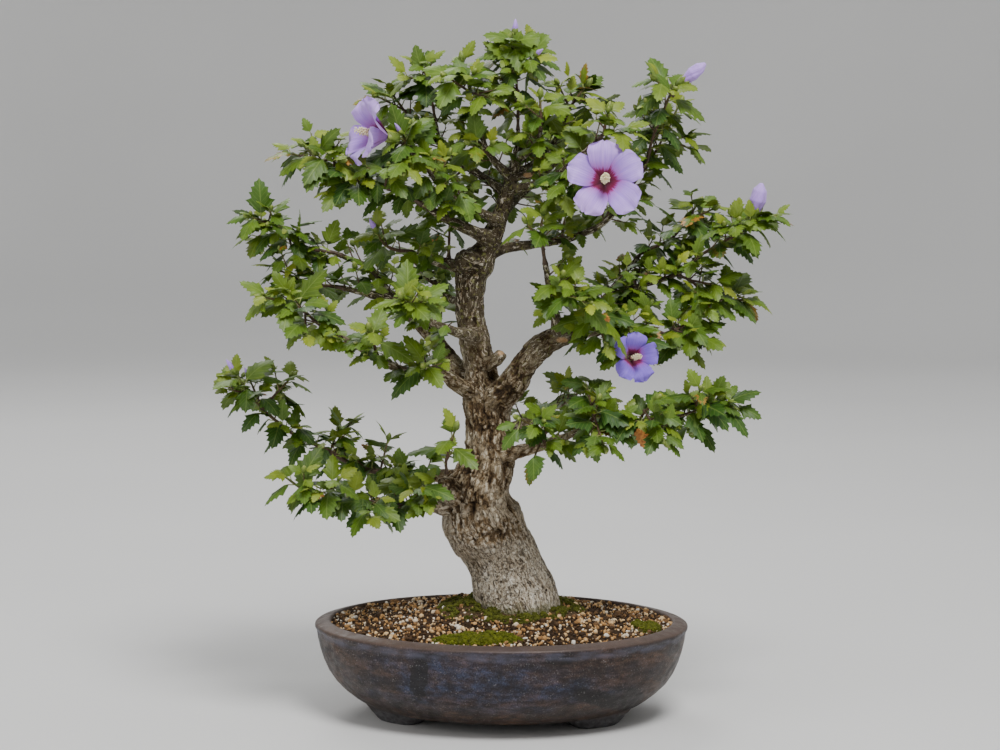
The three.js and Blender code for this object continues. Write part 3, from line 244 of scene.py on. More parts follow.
# Wood: places along each limb's centre line, with its radius in millimetres.
WOOD = {
    "trunk": [
        (520, 606, 12, 37), (515, 592, 12, 39), (504, 560, 10, 35), (496, 545, 8, 35), (488, 531, 6, 38.5),
        (482, 517, 4, 39.5), (479, 501, 2, 33), (480, 485, 0, 29.5), (486, 468, 0, 26.5), (489, 450, 1, 24),
        (487, 402, 4, 22.5), (482, 385, 6, 17.5), (480, 365, 8, 15), (475, 342, 9, 15), (470, 318, 9, 13.2),
        (471, 276, 6, 15), (477, 262, 4, 16.5), (487, 248, 3, 11.5), (501, 214, 1, 7.6), (507, 194, 0, 7.4),
        (517, 158, 1, 5.2), (518, 142, 2, 3), (518, 128, 3, 2.1),
    ],
    "low_left": [(468, 497, 2, 14), (445, 505, -8, 10.5), (432, 505, -10, 7.5), (420, 505, -12, 4.6)],
    "second_left": [(472, 478, 12, 9), (442, 476, 30, 6.8), (420, 475, 35, 5.4), (400, 474, 38, 3.8)],
    "third_left": [
        (476, 392, 2, 11), (458, 385, -12, 7.6), (438, 372, -25, 5.5), (397, 368, -42, 4),
        (335, 333, -50, 2.6),
    ],
    "thick_left": [
        (480, 392, 10, 12), (465, 380, 18, 9.5), (443, 349, 34, 7.4), (412, 317, 46, 5.9),
        (393, 301, 48, 4.8), (343, 288, 42, 2.8),
    ],
    "upper_left": [(395, 303, 48, 4.4), (372, 270, 56, 3.2), (340, 255, 54, 2.6)],
    "knob_left": [(470, 267, 6, 9), (448, 264, 0, 6), (410, 252, -10, 2.8)],
    "long_left": [(492, 240, 0, 8), (465, 228, -24, 5.4), (440, 215, -36, 4.2), (420, 203, -42, 3)],
    "flower_left": [(500, 222, 0, 6), (480, 212, -16, 4.2), (448, 194, -35, 3), (420, 160, -48, 2)],
    "crown_left": [(511, 178, 0, 5.5), (489, 154, -11, 3.3), (478, 125, -16, 2.2)],
    "crown_far_left": [(507, 194, 2, 5.5), (486, 179, 22, 4), (452, 157, 34, 2.9), (425, 130, 36, 2)],
    "crown_fork": [(440, 145, 36, 2.4), (435, 118, 29, 1.9)],
    "crown_middle": [(517, 160, 0, 4.6), (535, 146, -16, 3), (541, 129, -22, 2.1)],
    "crown_right": [(514, 174, 2, 5.4), (534, 164, 20, 4), (554, 142, 33, 3), (568, 112, 38, 2)],
    "crown_front": [(508, 190, -2, 5.4), (536, 184, -20, 4), (566, 168, -32, 3.2), (600, 138, -39, 2.1)],
    "long_right": [
        (489, 252, 2, 8), (512, 247, 6, 4.8), (552, 242, 12, 3.9), (580, 235, 14, 3.4), (610, 217, 14, 2.9),
        (645, 165, 8, 2.1),
    ],
    "big_right": [
        (492, 402, -2, 16), (510, 387, -8, 14.5), (524, 366, -11, 12.5), (538, 349, -12, 12),
        (554, 339, -10, 10.5), (568, 335, -8, 8.8),
    ],
    "right_upright": [(557, 339, -11, 6.5), (556, 320, -16, 5), (550, 290, -22, 3.8), (545, 262, -26, 2.7)],
    "right_level": [(563, 335, -8, 7), (585, 332, -6, 5.8), (625, 327, 1, 3.9), (660, 333, 8, 2.6)],
    "right_long": [
        (562, 337, -6, 7), (600, 303, 22, 4.2), (640, 286, 28, 3.2), (675, 275, 26, 2.6), (700, 256, 22, 2.1),
    ],
    "right_rising": [(601, 303, 22, 3.6), (638, 257, 40, 2.4)],
    "low_right": [
        (500, 457, -8, 10), (518, 452, -15, 7), (545, 445, -23, 4.8), (590, 429, -31, 3.3),
        (665, 421, -30, 2.1),
    ],
    "back_low": [(492, 436, 8, 8), (522, 423, 44, 4.8), (562, 404, 84, 2.6)],
    "back_middle": [(470, 312, 12, 7), (450, 298, 48, 4.4), (424, 272, 88, 2.5)],
    "back_top": [(502, 212, 4, 6), (522, 194, 42, 3.7), (556, 164, 84, 2.3)],
    "front_middle": [(474, 336, 0, 7), (450, 330, -42, 4.2), (412, 312, -86, 2.3)],
    "stub_crown": [(512, 178, -2, 4.5), (524, 176, -6, 3.6), (536, 175, -9, 3.4)],
    "stub_middle": [(484, 366, 2, 7), (496, 360, -8, 6.4), (502, 353, -11, 5.8)],
    "stub_base": [(462, 498, -8, 13), (450, 490, -14, 11), (446, 478, -15, 8)],
    "knob_lump": [(474, 262, 0, 13), (464, 260, -7, 11), (459, 255, -9, 8)],
}
WOOD_STEP = 5.0
WOOD_VOXEL = 1.45
TREE_HEIGHT = 662
FOOT_DEPTH = 18
FLARE, FLARE_HEIGHTS = 3.0, (98, 150)
GRAIN_STEP = 9.0
# Heights between which one kind of bark gives way to the next, and the sizes of its plates and knobs.
BASE_ENDS, UPPER_STARTS, CROTCH_STARTS, CROTCH_ENDS = (160, 215), (330, 400), (280, 320), (380, 410)
PLATE_SIZE, PLATE_SHAPE, KNOB_SIZE, KNOB_SHAPE = 5.6, (1, 1, 0.42), 4.6, (1, 1, 0.8)
# Forms on the trunk's front that the limbs' routes don't give, as the front view shows them:
# [across, down, half width, half height, lean in degrees, push in millimetres].
TRUNK_FORMS = [
    (473, 510, 3.2, 11, -14, -6.5), (480, 509, 3.6, 9, -8, 2.2), (464, 512, 4, 16, -24, 2.4),
    (488, 506, 4, 18, 18, 2.2), (476, 523, 12, 3.5, 0, 2.0), (455, 497, 10, 20, -12, 2.4),
    (498, 500, 7, 24, -14, 1.8), (516, 478, 3.4, 32, -14, -4.0), (508, 455, 2.8, 22, -8, -2.4),
    (466, 468, 3, 22, 12, -2.6), (478, 462, 2.5, 22, 4, -1.6), (489, 536, 34, 4, 0, -1.2),
    (478, 546, 26, 4, 4, 1.2), (489, 430, 2.6, 30, 2, -3.0), (482, 412, 2.4, 20, -6, -2.6),
    (497, 416, 2.4, 16, 8, -2.2), (500, 402, 3, 20, 4, -3.0), (506, 391, 6, 10, 20, -3.0),
    (515, 388, 9, 7, 0, 2.6), (497, 381, 6, 8, 0, 2.0), (471, 352, 6, 9, 0, -2.0), (478, 336, 9, 7, 0, 2.4),
    (468, 328, 5, 8, 0, 1.8), (466, 262, 9, 9, 0, 2.0), (476, 270, 4, 6, 0, -1.8),
    (540, 352, 12, 5, -30, 2.0), (552, 352, 7, 5, 0, -1.6),
]
WRINKLES = (486, 536, 42, 11)
CUTS = [(562, 340, 7, 3.2), (528, 175, 6, 3.5), (502, 352, 5, 4)]

# Sprays: where each starts on the wood, its stem, the tips of its twigs, those of twigs that the solid model
# doesn't hold, its bloom, how much older its leaves are made so that they darken as painted shade, and how
# far its buds show their petals.
Spray = namedtuple("Spray", "at stem tips more bloom older showing", defaults=((), (), None, 0, 0))
SPRAYS = {
    "low_left": Spray(
        (420, 505, -12),
        [(400, 507, -16), (385, 506, -18), (368, 502, -20), (348, 500, -24), (325, 497, -28), (304, 490, -31),
         (284, 476, -31)],
        [(368, 516, -40), (338, 480, -42), (400, 482, 2)]),
    "second_left": Spray(
        (400, 474, 38),
        [(380, 472, 40), (360, 468, 40), (330, 452, 38), (312, 443, 36), (295, 435, 32), (275, 420, 28),
         (262, 408, 24), (250, 395, 20), (236, 374, 18)],
        [(221, 384, 34), (292, 377, 34), (388, 440, 52), (338, 430, 60)], [(250, 380, 30)], showing=0.7),
    "trunk_shoot": Spray((447, 482, -15), [(446, 462, -20), (450, 446, -24), (455, 430, -26)]),
    "third_left": Spray(
        (335, 333, -50), [(320, 325, -48), (305, 312, -46), (295, 303, -44), (284, 292, -42)],
        [(263, 297, -56), (306, 336, -62)]),
    "third_left_middle": Spray((378, 357, -46), [(374, 344, -56), (370, 330, -64)]),
    "yellow_rosette": Spray((428, 371, -30), [(427, 369, -46), (424, 366, -60)]),
    "thick_left": Spray(
        (343, 288, 42), [(325, 286, 36), (310, 285, 32), (296, 280, 30)], [(275, 268, 42)]),
    "thick_left_middle": Spray((395, 302, 48), [(398, 290, 44), (402, 276, 42)]),
    "thick_left_inner": Spray((436, 341, 37), [(440, 324, 26), (442, 308, 24)]),
    "upper_left": Spray(
        (340, 255, 54), [(322, 251, 52), (305, 248, 50), (289, 238, 46), (276, 225, 43), (270, 211, 40)],
        [(250, 217, 28), (253, 240, 60), (297, 263, 33)], showing=0.4),
    "upper_left_inner": Spray((368, 267, 56), [(369, 253, 60), (368, 238, 60)]),
    "knob_left": Spray((410, 252, -10), [(396, 250, -14), (384, 244, -19), (377, 232, -24)], showing=0.5),
    "knob_shoot": Spray((450, 265, 0), [(449, 248, 10), (450, 222, 18), (452, 194, 20)]),
    "long_left": Spray(
        (420, 203, -42),
        [(400, 193, -46), (385, 187, -48), (365, 183, -50), (350, 178, -50), (335, 170, -48), (318, 160, -46),
         (304, 146, -44)],
        [(288, 153, -30), (332, 192, -54), (388, 166, -70)], [(340, 160, -60), (370, 172, -34)]),
    "side_flower": Spray(
        (420, 160, -48), [(414, 156, -50), (408, 150, -52), (402, 146, -54)], [(404, 170, -72)],
        [(402, 134, -58)], "side", showing=1.0),
    "crown_far_left": Spray(
        (425, 130, 36), [(413, 121, 34), (404, 110, 32), (393, 95, 30)], [(377, 96, 20)]),
    "crown_fork": Spray((435, 118, 29), [(432, 100, 25), (428, 82, 23), (421, 62, 22)], [(404, 76, 8)]),
    "crown_left": Spray(
        (478, 125, -16), [(475, 110, -17), (470, 92, -18), (463, 61, -18)], [(446, 76, -34), (490, 98, -36)]),
    "crown_left_inner": Spray((489, 154, -11), [(480, 150, -24), (470, 144, -34)]),
    "crown_far_left_inner": Spray((466, 167, 31), [(458, 174, 40), (448, 180, 46)]),
    "leader": Spray(
        (518, 128, 3), [(518, 110, 3), (517, 90, 3), (516, 70, 3), (516, 50, 3), (515, 36, 3)],
        [(497, 76, -10), (534, 72, 14)], [(534, 56, -8), (499, 54, 6)], showing=0.5),
    "crown_middle": Spray((541, 129, -22), [(541, 115, -23), (540, 98, -24)]),
    "crown_right": Spray((568, 112, 38), [(576, 99, 39), (586, 86, 40)], [(558, 84, 30), (602, 104, 52)]),
    "crown_front": Spray((600, 138, -39), [(605, 126, -40), (608, 112, -41)], [(628, 131, -48)]),
    "front_flower": Spray(
        (572, 163, -34), [(581, 172, -26), (594, 179, -22)], [(560, 196, -44)], bloom="front"),
    "long_right": Spray(
        (645, 165, 8), [(652, 140, 4), (662, 115, 0), (672, 95, -3), (680, 86, -4)], [(656, 80, -14)],
        bloom="upper_bud"),
    "long_right_middle": Spray(
        (637, 181, 10), [(646, 168, 26), (664, 136, 34), (679, 105, 34)], [(692, 150, 42)]),
    "long_right_inner": Spray((606, 220, 14), [(610, 208, 26), (612, 198, 36)]),
    "long_right_base": Spray((562, 240, 13), [(563, 228, 2), (566, 215, -4)]),
    "right_upright": Spray(
        (545, 262, -26), [(543, 248, -28), (541, 232, -29), (543, 214, -30)], [(526, 222, -38)]),
    "right_upright_inner": Spray((551, 298, -20), [(558, 290, -36), (562, 277, -46)], [(590, 304, -66)]),
    "far_right_bud": Spray(
        (700, 256, 22), [(715, 247, 19), (732, 237, 15), (748, 222, 12), (753, 214, 11)],
        [(738, 222, 0), (771, 221, 24)], bloom="far_bud"),
    "right_rising": Spray(
        (638, 257, 40), [(655, 247, 41), (672, 238, 42), (685, 222, 42), (697, 205, 42)],
        [(713, 209, 32), (712, 238, 52)]),
    "right_long": Spray(
        (676, 274, 26), [(690, 280, 25), (703, 291, 25), (720, 300, 26), (736, 292, 28)],
        [(752, 300, 34), (704, 308, 8)], [(720, 286, 14)]),
    "right_long_inner": Spray((630, 290, 27), [(636, 278, 40), (648, 266, 48)], [(634, 309, 52)]),
    "right_level": Spray(
        (660, 333, 8), [(675, 330, 10), (688, 323, 12), (701, 316, 14)], [(706, 341, 4), (686, 350, 24)]),
    "right_level_front": Spray((598, 330, -4), [(597, 322, -20), (593, 312, -34)], [(606, 344, -42)]),
    "small_flower": Spray((625, 327, 1), [(627, 333, -8), (630, 340, -15), (632, 345, -19)], bloom="small"),
    # The low right sprays' leaves are aged darker: painted shade under the crown.
    "low_right": Spray(
        (665, 421, -30), [(680, 416, -28), (695, 411, -26), (708, 405, -25), (718, 398, -24)],
        [(738, 409, -14), (700, 390, -40), (692, 430, -12)], older=0.35),
    "low_right_middle": Spray(
        (636, 423, -32), [(645, 412, -42), (655, 401, -48)], [(664, 440, -56)], older=0.4),
    "low_right_inner": Spray(
        (590, 429, -31), [(594, 416, -40), (598, 402, -46)], [(604, 446, -60), (586, 384, -34)], older=0.4),
    "low_right_root": Spray(
        (545, 445, -23), [(545, 432, -32), (544, 416, -38)], (), [(532, 463, -50), (518, 418, -56)],
        older=0.45),
    "back_low": Spray((562, 404, 84), [(574, 397, 96), (582, 388, 108)], [(604, 404, 88)]),
    "back_middle": Spray((424, 272, 88), [(416, 264, 100), (410, 254, 112)], [(438, 250, 100)]),
    "back_top": Spray((556, 164, 84), [(566, 154, 100), (574, 142, 114)], [(552, 142, 108)]),
    "front_middle": Spray((412, 312, -86), [(406, 306, -96), (402, 298, -104)], [(424, 300, -106)]),
}
# Parts of the front view that stay clear of extra leaves: [left, right, top, bottom].
TRUNK_STRIPS = [(454, 524, 225, 612), (484, 526, 166, 225), (524, 560, 236, 262)]
# Shoots on the thick lower branch: where each starts and ends, and how large its leaves are.
BRANCH_SHOOTS = [
    ((440, 504, -9), (436, 489, -24), 1.5),
    ((430, 505, -10), (424, 488, -20), 1.4),
    ((424, 505, -11), (412, 494, -28), 1.3),
    ((436, 505, -9), (428, 510, -30), 1.2),
    ((424, 476, 33), (432, 462, 20), 1.2),
]
# Leaves that stand out in the front view: the stalk's start, the blade's start and tip, tone, and a turn.
LEAF_FACING = np.array([0.0, -0.72, 0.69])
CHOSEN_LEAVES = {
    "leader": [
        ((515, 44, 2), (511, 40, -2), (486, 31, -8), 0.3, 0),
        ((516, 48, 2), (511, 46, -4), (485, 52, -14), 0.5, 0),
        ((515, 43, 2), (520, 40, -2), (549, 34, -8), 0.6, 0),
        ((516, 47, 2), (521, 46, -4), (548, 54, -12), 0.2, 0),
        ((516, 49, 2), (515, 49, -6), (520, 68, -18), 0.7, 0),
    ],
    "right_level_front": [((597, 320, -22), (607, 321, -42), (633, 350, -56), 0.8, -0.8)],
    "low_right_middle": [((642, 416, -38), (641, 426, -44), (643, 448, -48), 1.1, 0)],
    "low_right_root": [
        ((519, 419, -55), (515, 424, -60), (497, 426, -66), 0.2, 0),
        ((520, 421, -54), (518, 430, -62), (500, 446, -68), 0.1, 0),
        ((532, 462, -50), (533, 458, -58), (535, 480, -64), 0.1, 0),
    ],
    "low_right_inner": [((591, 428, -32), (592, 438, -46), (597, 462, -52), 0.2, 0)],
    "branches": [
        ((462, 203, -27), (461, 193, -40), (472, 219, -50), 0.2, 0),
        ((424, 489, -20), (424, 487, -30), (453, 494, -42), 0.1, 0),
        ((517, 158, 1), (518, 152, -10), (528, 146, -24), 0.9, 0),
    ],
}


# Small helpers
def seeded(seed):
    """A repeatable draw between 0 and 1, the same one that places the solid leaves."""
    mask = 0xFFFFFFFF
    state = seed & mask

    def draw():
        nonlocal state
        state = (state + 0x6D2B79F5) & mask
        t = ((state ^ (state >> 15)) * (1 | state)) & mask
        t = ((t + (((t ^ (t >> 7)) * (61 | t)) & mask)) & mask) ^ t
        return ((t ^ (t >> 14)) & mask) / 4294967296

    return draw


def chance(draw, least, spread):
    return least + spread * draw()


def unit(v):
    return v / np.linalg.norm(v)


def travel(points):
    """How far each point lies along a route."""
    return np.r_[0, np.cumsum(np.linalg.norm(np.diff(points, axis=0), axis=1))]


def smoothstep(low, high, x):
    t = np.clip((np.asarray(x, float) - low) / (high - low), 0, 1)
    return t * t * (3 - 2 * t)


def circle(count):
    return FULL_TURN * np.arange(count) / count


def spoke(a, b, angle):
    """The direction at an angle from `a` towards `b`."""
    return a * math.cos(angle) + b * math.sin(angle)


def rotated(x, y, turn):
    c, s = math.cos(turn), math.sin(turn)
    return x * c - y * s, x * s + y * c


def seen(place):
    """The point at a depth that the front view shows at a pixel."""
    right = (place[0] - VIEW_CENTRE[0]) / VIEW_FOCAL
    up = (VIEW_CENTRE[1] - place[1]) / VIEW_FOCAL
    y = place[2] * CROWN_SPREAD
    run = (y - EYE[1]) / (LOOK_ALONG + up * LOOK_DOWN)
    return np.array([right * run, y, EYE[2] + (-LOOK_DOWN + up * LOOK_ALONG) * run])


def pixels_of(points):
    """Where the front view shows points."""
    p = points - EYE
    forward = p[:, 1] * LOOK_ALONG - p[:, 2] * LOOK_DOWN
    up = p[:, 1] * LOOK_DOWN + p[:, 2] * LOOK_ALONG
    return np.c_[VIEW_CENTRE[0] + VIEW_FOCAL * p[:, 0] / forward, VIEW_CENTRE[1] - VIEW_FOCAL * up / forward]


def patch(pixels, across, down, half_width, half_height, lean=0.0):
    """A soft-edged oval as the front view shows it, 1 in its middle."""
    u, v = rotated(pixels[:, 0] - across, pixels[:, 1] - down, math.radians(lean))
    return np.exp(-1.2 * ((u / half_width) ** 2 + (v / half_height) ** 2))


def noise_at(points, scale):
    """Perlin noise, about -1 to 1, at points in millimetres."""
    return np.array([noise.noise(Vector(p)) for p in np.asarray(points) / scale])


def drift_at(points, scale, *offsets):
    return np.stack([noise_at(points + offset, scale) for offset in offsets], 1)


def cells_at(points):
    """Distances to the nearest and the next cell centre at points in cell sizes."""
    return np.array([noise.voronoi(Vector(p))[0][:2] for p in points])


# Geometry
class Cluster:
    """Many small shapes gathered into one mesh, with four numbers at each point that its materials read."""

    def __init__(self):
        self.points, self.faces, self.looks, self.slots = [], [], [], []
        self.count = 0

    def add(self, points, faces, look=(0, 0, 0, 0), slot=0):
        self.points.append(np.asarray(points, float))
        self.faces.append(np.asarray(faces, int) + self.count)
        self.looks.append(np.stack([np.broadcast_to(part, len(points)) for part in look], 1))
        self.slots.append(np.full(len(faces), slot))
        self.count += len(points)

    def piece(self, name, materials, slot, replaces=(), smooth=True):
        mesh = new_mesh(name, np.vstack(self.points), np.vstack(self.faces), smooth)
        mesh.polygons.foreach_set("material_index", np.concatenate(self.slots).astype(np.int32))
        finish_piece(name, mesh, np.vstack(self.looks), materials, replaces)


def in_scene(thing):
    bpy.context.scene.collection.objects.link(thing)
    return thing


def new_mesh(name, points, faces, smooth=True):
    mesh = bpy.data.meshes.new(name)
    mesh.vertices.add(len(points))
    mesh.vertices.foreach_set("co", ((points + SHIFT) * MM).ravel())
    mesh.loops.add(3 * len(faces))
    mesh.loops.foreach_set("vertex_index", faces.astype(np.int32).ravel())
    mesh.polygons.add(len(faces))
    mesh.polygons.foreach_set("loop_start", np.arange(0, 3 * len(faces), 3, dtype=np.int32))
    mesh.polygons.foreach_set("use_smooth", np.full(len(faces), smooth))
    mesh.update(calc_edges=True)
    return mesh


def set_numbers(mesh, name, kind, key, values):
    layer = mesh.attributes.new(name, kind, "POINT")
    layer.data.foreach_set(key, values.astype(np.float32).ravel())


def finish_piece(name, mesh, looks, materials, replaces):
    set_numbers(mesh, "look", "FLOAT_COLOR", "color", looks)
    for material in materials:
        mesh.materials.append(material)
    piece = in_scene(bpy.data.objects.new(name, mesh))
    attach(piece, "root")
    if replaces:
        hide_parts(*replaces)


def smooth_route(points, radii, step):
    """A curve through the points, sampled about every `step` millimetres, with its radii."""
    points, radii = np.asarray(points, float), np.asarray(radii, float)
    padded = np.vstack([2 * points[0] - points[1], points, 2 * points[-1] - points[-2]])
    route, widths = [], []
    for i in range(len(points) - 1):
        p0, p1, p2, p3 = padded[i : i + 4]
        count = max(1, round(np.linalg.norm(p2 - p1) / step))
        for t in np.arange(count) / count:
            curve = 2 * p1 + (p2 - p0) * t + (2 * p0 - 5 * p1 + 4 * p2 - p3) * t**2
            route.append(0.5 * (curve + (3 * p1 - p0 - 3 * p2 + p3) * t**3))
            widths.append(radii[i] + (radii[i + 1] - radii[i]) * t * t * (3 - 2 * t))
    return np.array([*route, points[-1]]), np.array([*widths, radii[-1]])


def across_from(along):
    """A level direction across `along`, or one by the viewer's side where it is steep."""
    return np.cross(UP if abs(along[2]) < 0.8 else -AWAY, along)


def route_frames(points):
    """Two directions across a route at each point, carried without twist."""
    along = np.gradient(points, axis=0)
    along /= np.linalg.norm(along, axis=1)[:, None]
    side, sides = across_from(along[0]), []
    for direction in along:
        side = unit(side - direction * side.dot(direction))
        sides.append(side)
    return np.array(sides), np.cross(along, sides)


def lofted(rings, sides):
    """Triangles that join rings of points one to the next, with a flat cap at each end."""
    ring, place = np.meshgrid(np.arange(rings - 1), np.arange(sides), indexing="ij")
    a = (ring * sides + place).ravel()
    b = (ring * sides + (place + 1) % sides).ravel()
    s, last = np.arange(1, sides - 1), (rings - 1) * sides
    caps = np.c_[0 * s, s + 1, s], np.c_[0 * s + last, s + last, s + 1 + last]
    return np.vstack([np.c_[a, b, b + sides], np.c_[a, b + sides, a + sides], *caps])


def tube(points, radii, sides):
    points, angle = np.asarray(points), circle(sides)
    side, across = route_frames(points)
    ring = np.cos(angle)[None, :, None] * side[:, None] + np.sin(angle)[None, :, None] * across[:, None]
    verts = points[:, None] + ring * np.asarray(radii)[:, None, None]
    return verts.reshape(-1, 3), lofted(len(points), sides)


def lathe(centre, axes, profile, sides, twist=0.0, wave=1.0):
    """A turned shape: [distance along the axis, radius] for each ring, a number or one a side."""
    axis, a, b = axes
    rings = []
    for i, (along, radius) in enumerate(profile):
        angle, r = circle(sides) + twist * i, radius * wave
        middle = centre + np.broadcast_to(along, sides)[:, None] * axis
        rings.append(middle + (r * np.cos(angle))[:, None] * a + (r * np.sin(angle))[:, None] * b)
    return np.vstack(rings), lofted(len(profile), sides)


def scaled(profile, size, start=0):
    return [(start + along * size, radius * size) for along, radius in profile]


def bloom_axes(faces, turn):
    axis = unit(np.array(faces, float))
    side = unit(np.cross(UP, axis))
    a = spoke(side, np.cross(axis, side), turn)
    return axis, a, np.cross(axis, a)


# Materials. A colour is a grey level, 0 to 1, or red, green and blue as a screen shows them, 0 to 255.
def paint(colour):
    """A colour in the renderer's linear values."""
    if not isinstance(colour, tuple):
        return [colour, colour, colour, 1.0]
    levels = [level / 255 for level in colour]
    return [c / 12.92 if c <= 0.04045 else ((c + 0.055) / 1.055) ** 2.4 for c in levels] + [1.0]


class Finish:
    """A material's nodes, with short ways to add and join them. Sizes are in millimetres."""

    def __init__(self, name, roughness, **plain):
        self.material = bpy.data.materials.new(name)
        self.material.use_nodes = True
        self.tree = self.material.node_tree
        self.shader = self.tree.nodes["Principled BSDF"]
        self.put(self.shader, {"Roughness": roughness})
        self.put(self.shader, {key.replace("_", " "): value for key, value in plain.items()})

    def put(self, node, inputs):
        for key, value in inputs.items():
            if isinstance(value, bpy.types.NodeSocket):
                self.tree.links.new(value, node.inputs[key])
            else:
                node.inputs[key].default_value = value

    def node(self, kind, inputs, **settings):
        node = self.tree.nodes.new("ShaderNode" + kind)
        for key, value in settings.items():
            setattr(node, key, value)
        self.put(node, inputs)
        return node

    def stretched(self, vector, scale):
        return self.node("Mapping", {"Vector": vector, "Scale": scale}).outputs["Vector"]

    def place(self, scale=(1, 1, 1)):
        """Object coordinates, stretched."""
        return self.stretched(self.node("TexCoord", {}).outputs["Object"], tuple(s / MM for s in scale))

    def look(self):
        """The four numbers that the mesh carries."""
        source = self.node("Attribute", {}, attribute_name="look")
        parts = self.node("SeparateColor", {"Color": source.outputs["Color"]})
        return [parts.outputs[k] for k in ("Red", "Green", "Blue")] + [source.outputs["Alpha"]]

    def noise(self, vector, size, detail=3.0, distortion=0.0, output="Fac"):
        inputs = {"Vector": vector, "Scale": 1 / size, "Detail": detail, "Distortion": distortion}
        return self.node("TexNoise", inputs).outputs[output]

    def cells(self, vector, size, feature="F1"):
        inputs = {"Vector": vector, "Scale": 1 / size, "Randomness": 1.0}
        return self.node("TexVoronoi", inputs, feature=feature).outputs["Distance"]

    def ramp(self, factor, *stops):
        node = self.node("ValToRGB", {"Fac": factor})
        elements = node.color_ramp.elements
        while len(elements) < len(stops):
            elements.new(0.5)
        for element, (position, colour) in zip(elements, stops):
            element.position = position
            element.color = paint(colour)
        return node.outputs["Color"]

    def clouds(self, vector, size, detail, *stops, distortion=0.0):
        return self.ramp(self.noise(vector, size, detail, distortion), *stops)

    def blend(self, colour, factor, other, how="MIX"):
        other = paint(other) if isinstance(other, tuple) else other
        inputs = {0: factor, 6: colour, 7: other}
        return self.node("Mix", inputs, data_type="RGBA", blend_type=how).outputs[2]

    def tint(self, colour, factor, other):
        return self.blend(colour, factor, other, "MULTIPLY")

    def maths(self, operation, a, b=0.5, clamp=False):
        return self.node("Math", {0: a, 1: b}, operation=operation, use_clamp=clamp).outputs["Value"]

    def plus(self, a, b):
        return self.maths("ADD", a, b)

    def minus(self, a, b, clamp=False):
        return self.maths("SUBTRACT", a, b, clamp)

    def times(self, a, b, *more, clamp=False):
        product = self.maths("MULTIPLY", a, b, clamp)
        return self.times(product, *more, clamp=clamp) if more else product

    def done(self, colour, height, distance, strength, **inputs):
        """Gives the material its colour and its relief, and hands it over."""
        bump = self.node("Bump", {"Height": height, "Distance": distance * MM, "Strength": strength})
        self.put(self.shader, {"Base Color": colour, "Normal": bump.outputs["Normal"], **inputs})
        return self.material


VEIN_SLANT = 1.05
SIDE_VEINS = 6.5
MIDRIB_WIDTH = 0.022
WITHERED_TONE = 0.975


def leaf_finish(name, young, grown, old, vein, shine):
    """Leaves: `look` holds the place along and across the blade, a tone of its own and the leaf's age."""
    f = Finish(name, 0.5, Specular_IOR_Level=shine)
    along, across, tone, age = f.look()
    place = f.place()
    colour = f.ramp(age, (0.0, young), (0.45, grown), (1.0, old))
    colour = f.tint(colour, 0.8, f.clouds(place, 9.0, 2.0, (0.3, (196, 204, 170)), (0.7, 1.0)))
    colour = f.tint(colour, 1.0, f.ramp(tone, (0.0, (196, 218, 190)), (0.45, 1.0), (0.95, (255, 248, 190))))
    # Veins: the midrib, and side veins that run forward from it at about 45 degrees.
    rib = f.minus(1.0, f.maths("DIVIDE", across, MIDRIB_WIDTH), clamp=True)
    comb = f.maths("FRACT", f.times(f.minus(along, f.times(across, VEIN_SLANT)), SIDE_VEINS))
    comb = f.maths("ABSOLUTE", f.minus(comb, 0.5))
    veins = f.maths("MAXIMUM", rib, f.times(f.minus(comb, 0.42, clamp=True), 9.0, clamp=True))
    colour = f.blend(colour, f.times(veins, 0.4), vein)
    # Autumn: a few old blades turn yellow, and brown from their edge.
    edge = f.times(f.minus(f.plus(across, f.times(along, 0.3)), 0.2), 3.0)
    wear_and_highlight_patches = f.times(f.minus(tone, WITHERED_TONE, clamp=True), 40.0, clamp=True)
    withered = f.times(f.minus(tone, 1.0, clamp=True), 3.0)
    spread = f.plus(f.noise(place, 5.0, 4.0), f.times(edge, 0.35))
    spots = f.maths("GREATER_THAN", f.plus(spread, withered), 0.6)
    colour = f.blend(colour, f.times(withered, 2.0, clamp=True), (196, 170, 60))
    brown = f.clouds(place, 3.0, 3.0, (0.35, (150, 84, 36)), (0.65, (212, 146, 62)))
    colour = f.blend(colour, f.times(wear_and_highlight_patches, spots), brown)
    fine = f.noise(place, 1.3, 3.0)
    height = f.plus(f.times(veins, -0.6), f.times(fine, 0.5))
    return f.done(colour, height, 0.25, 0.7, Roughness=f.plus(f.times(fine, 0.25), 0.34))


def grainy_finish(name, roughness, stops, flecks, relief, **plain):
    """A colour that runs with the first number of `look`, flecked, over a fine relief."""
    f = Finish(name, roughness, **plain)
    place = f.place()
    share, size, detail, *levels = flecks
    colour = f.tint(f.ramp(f.look()[0], *stops), share, f.clouds(place, size, detail, *levels))
    size, detail, distance, strength = relief
    return f.done(colour, f.noise(place, size, detail), distance, strength)


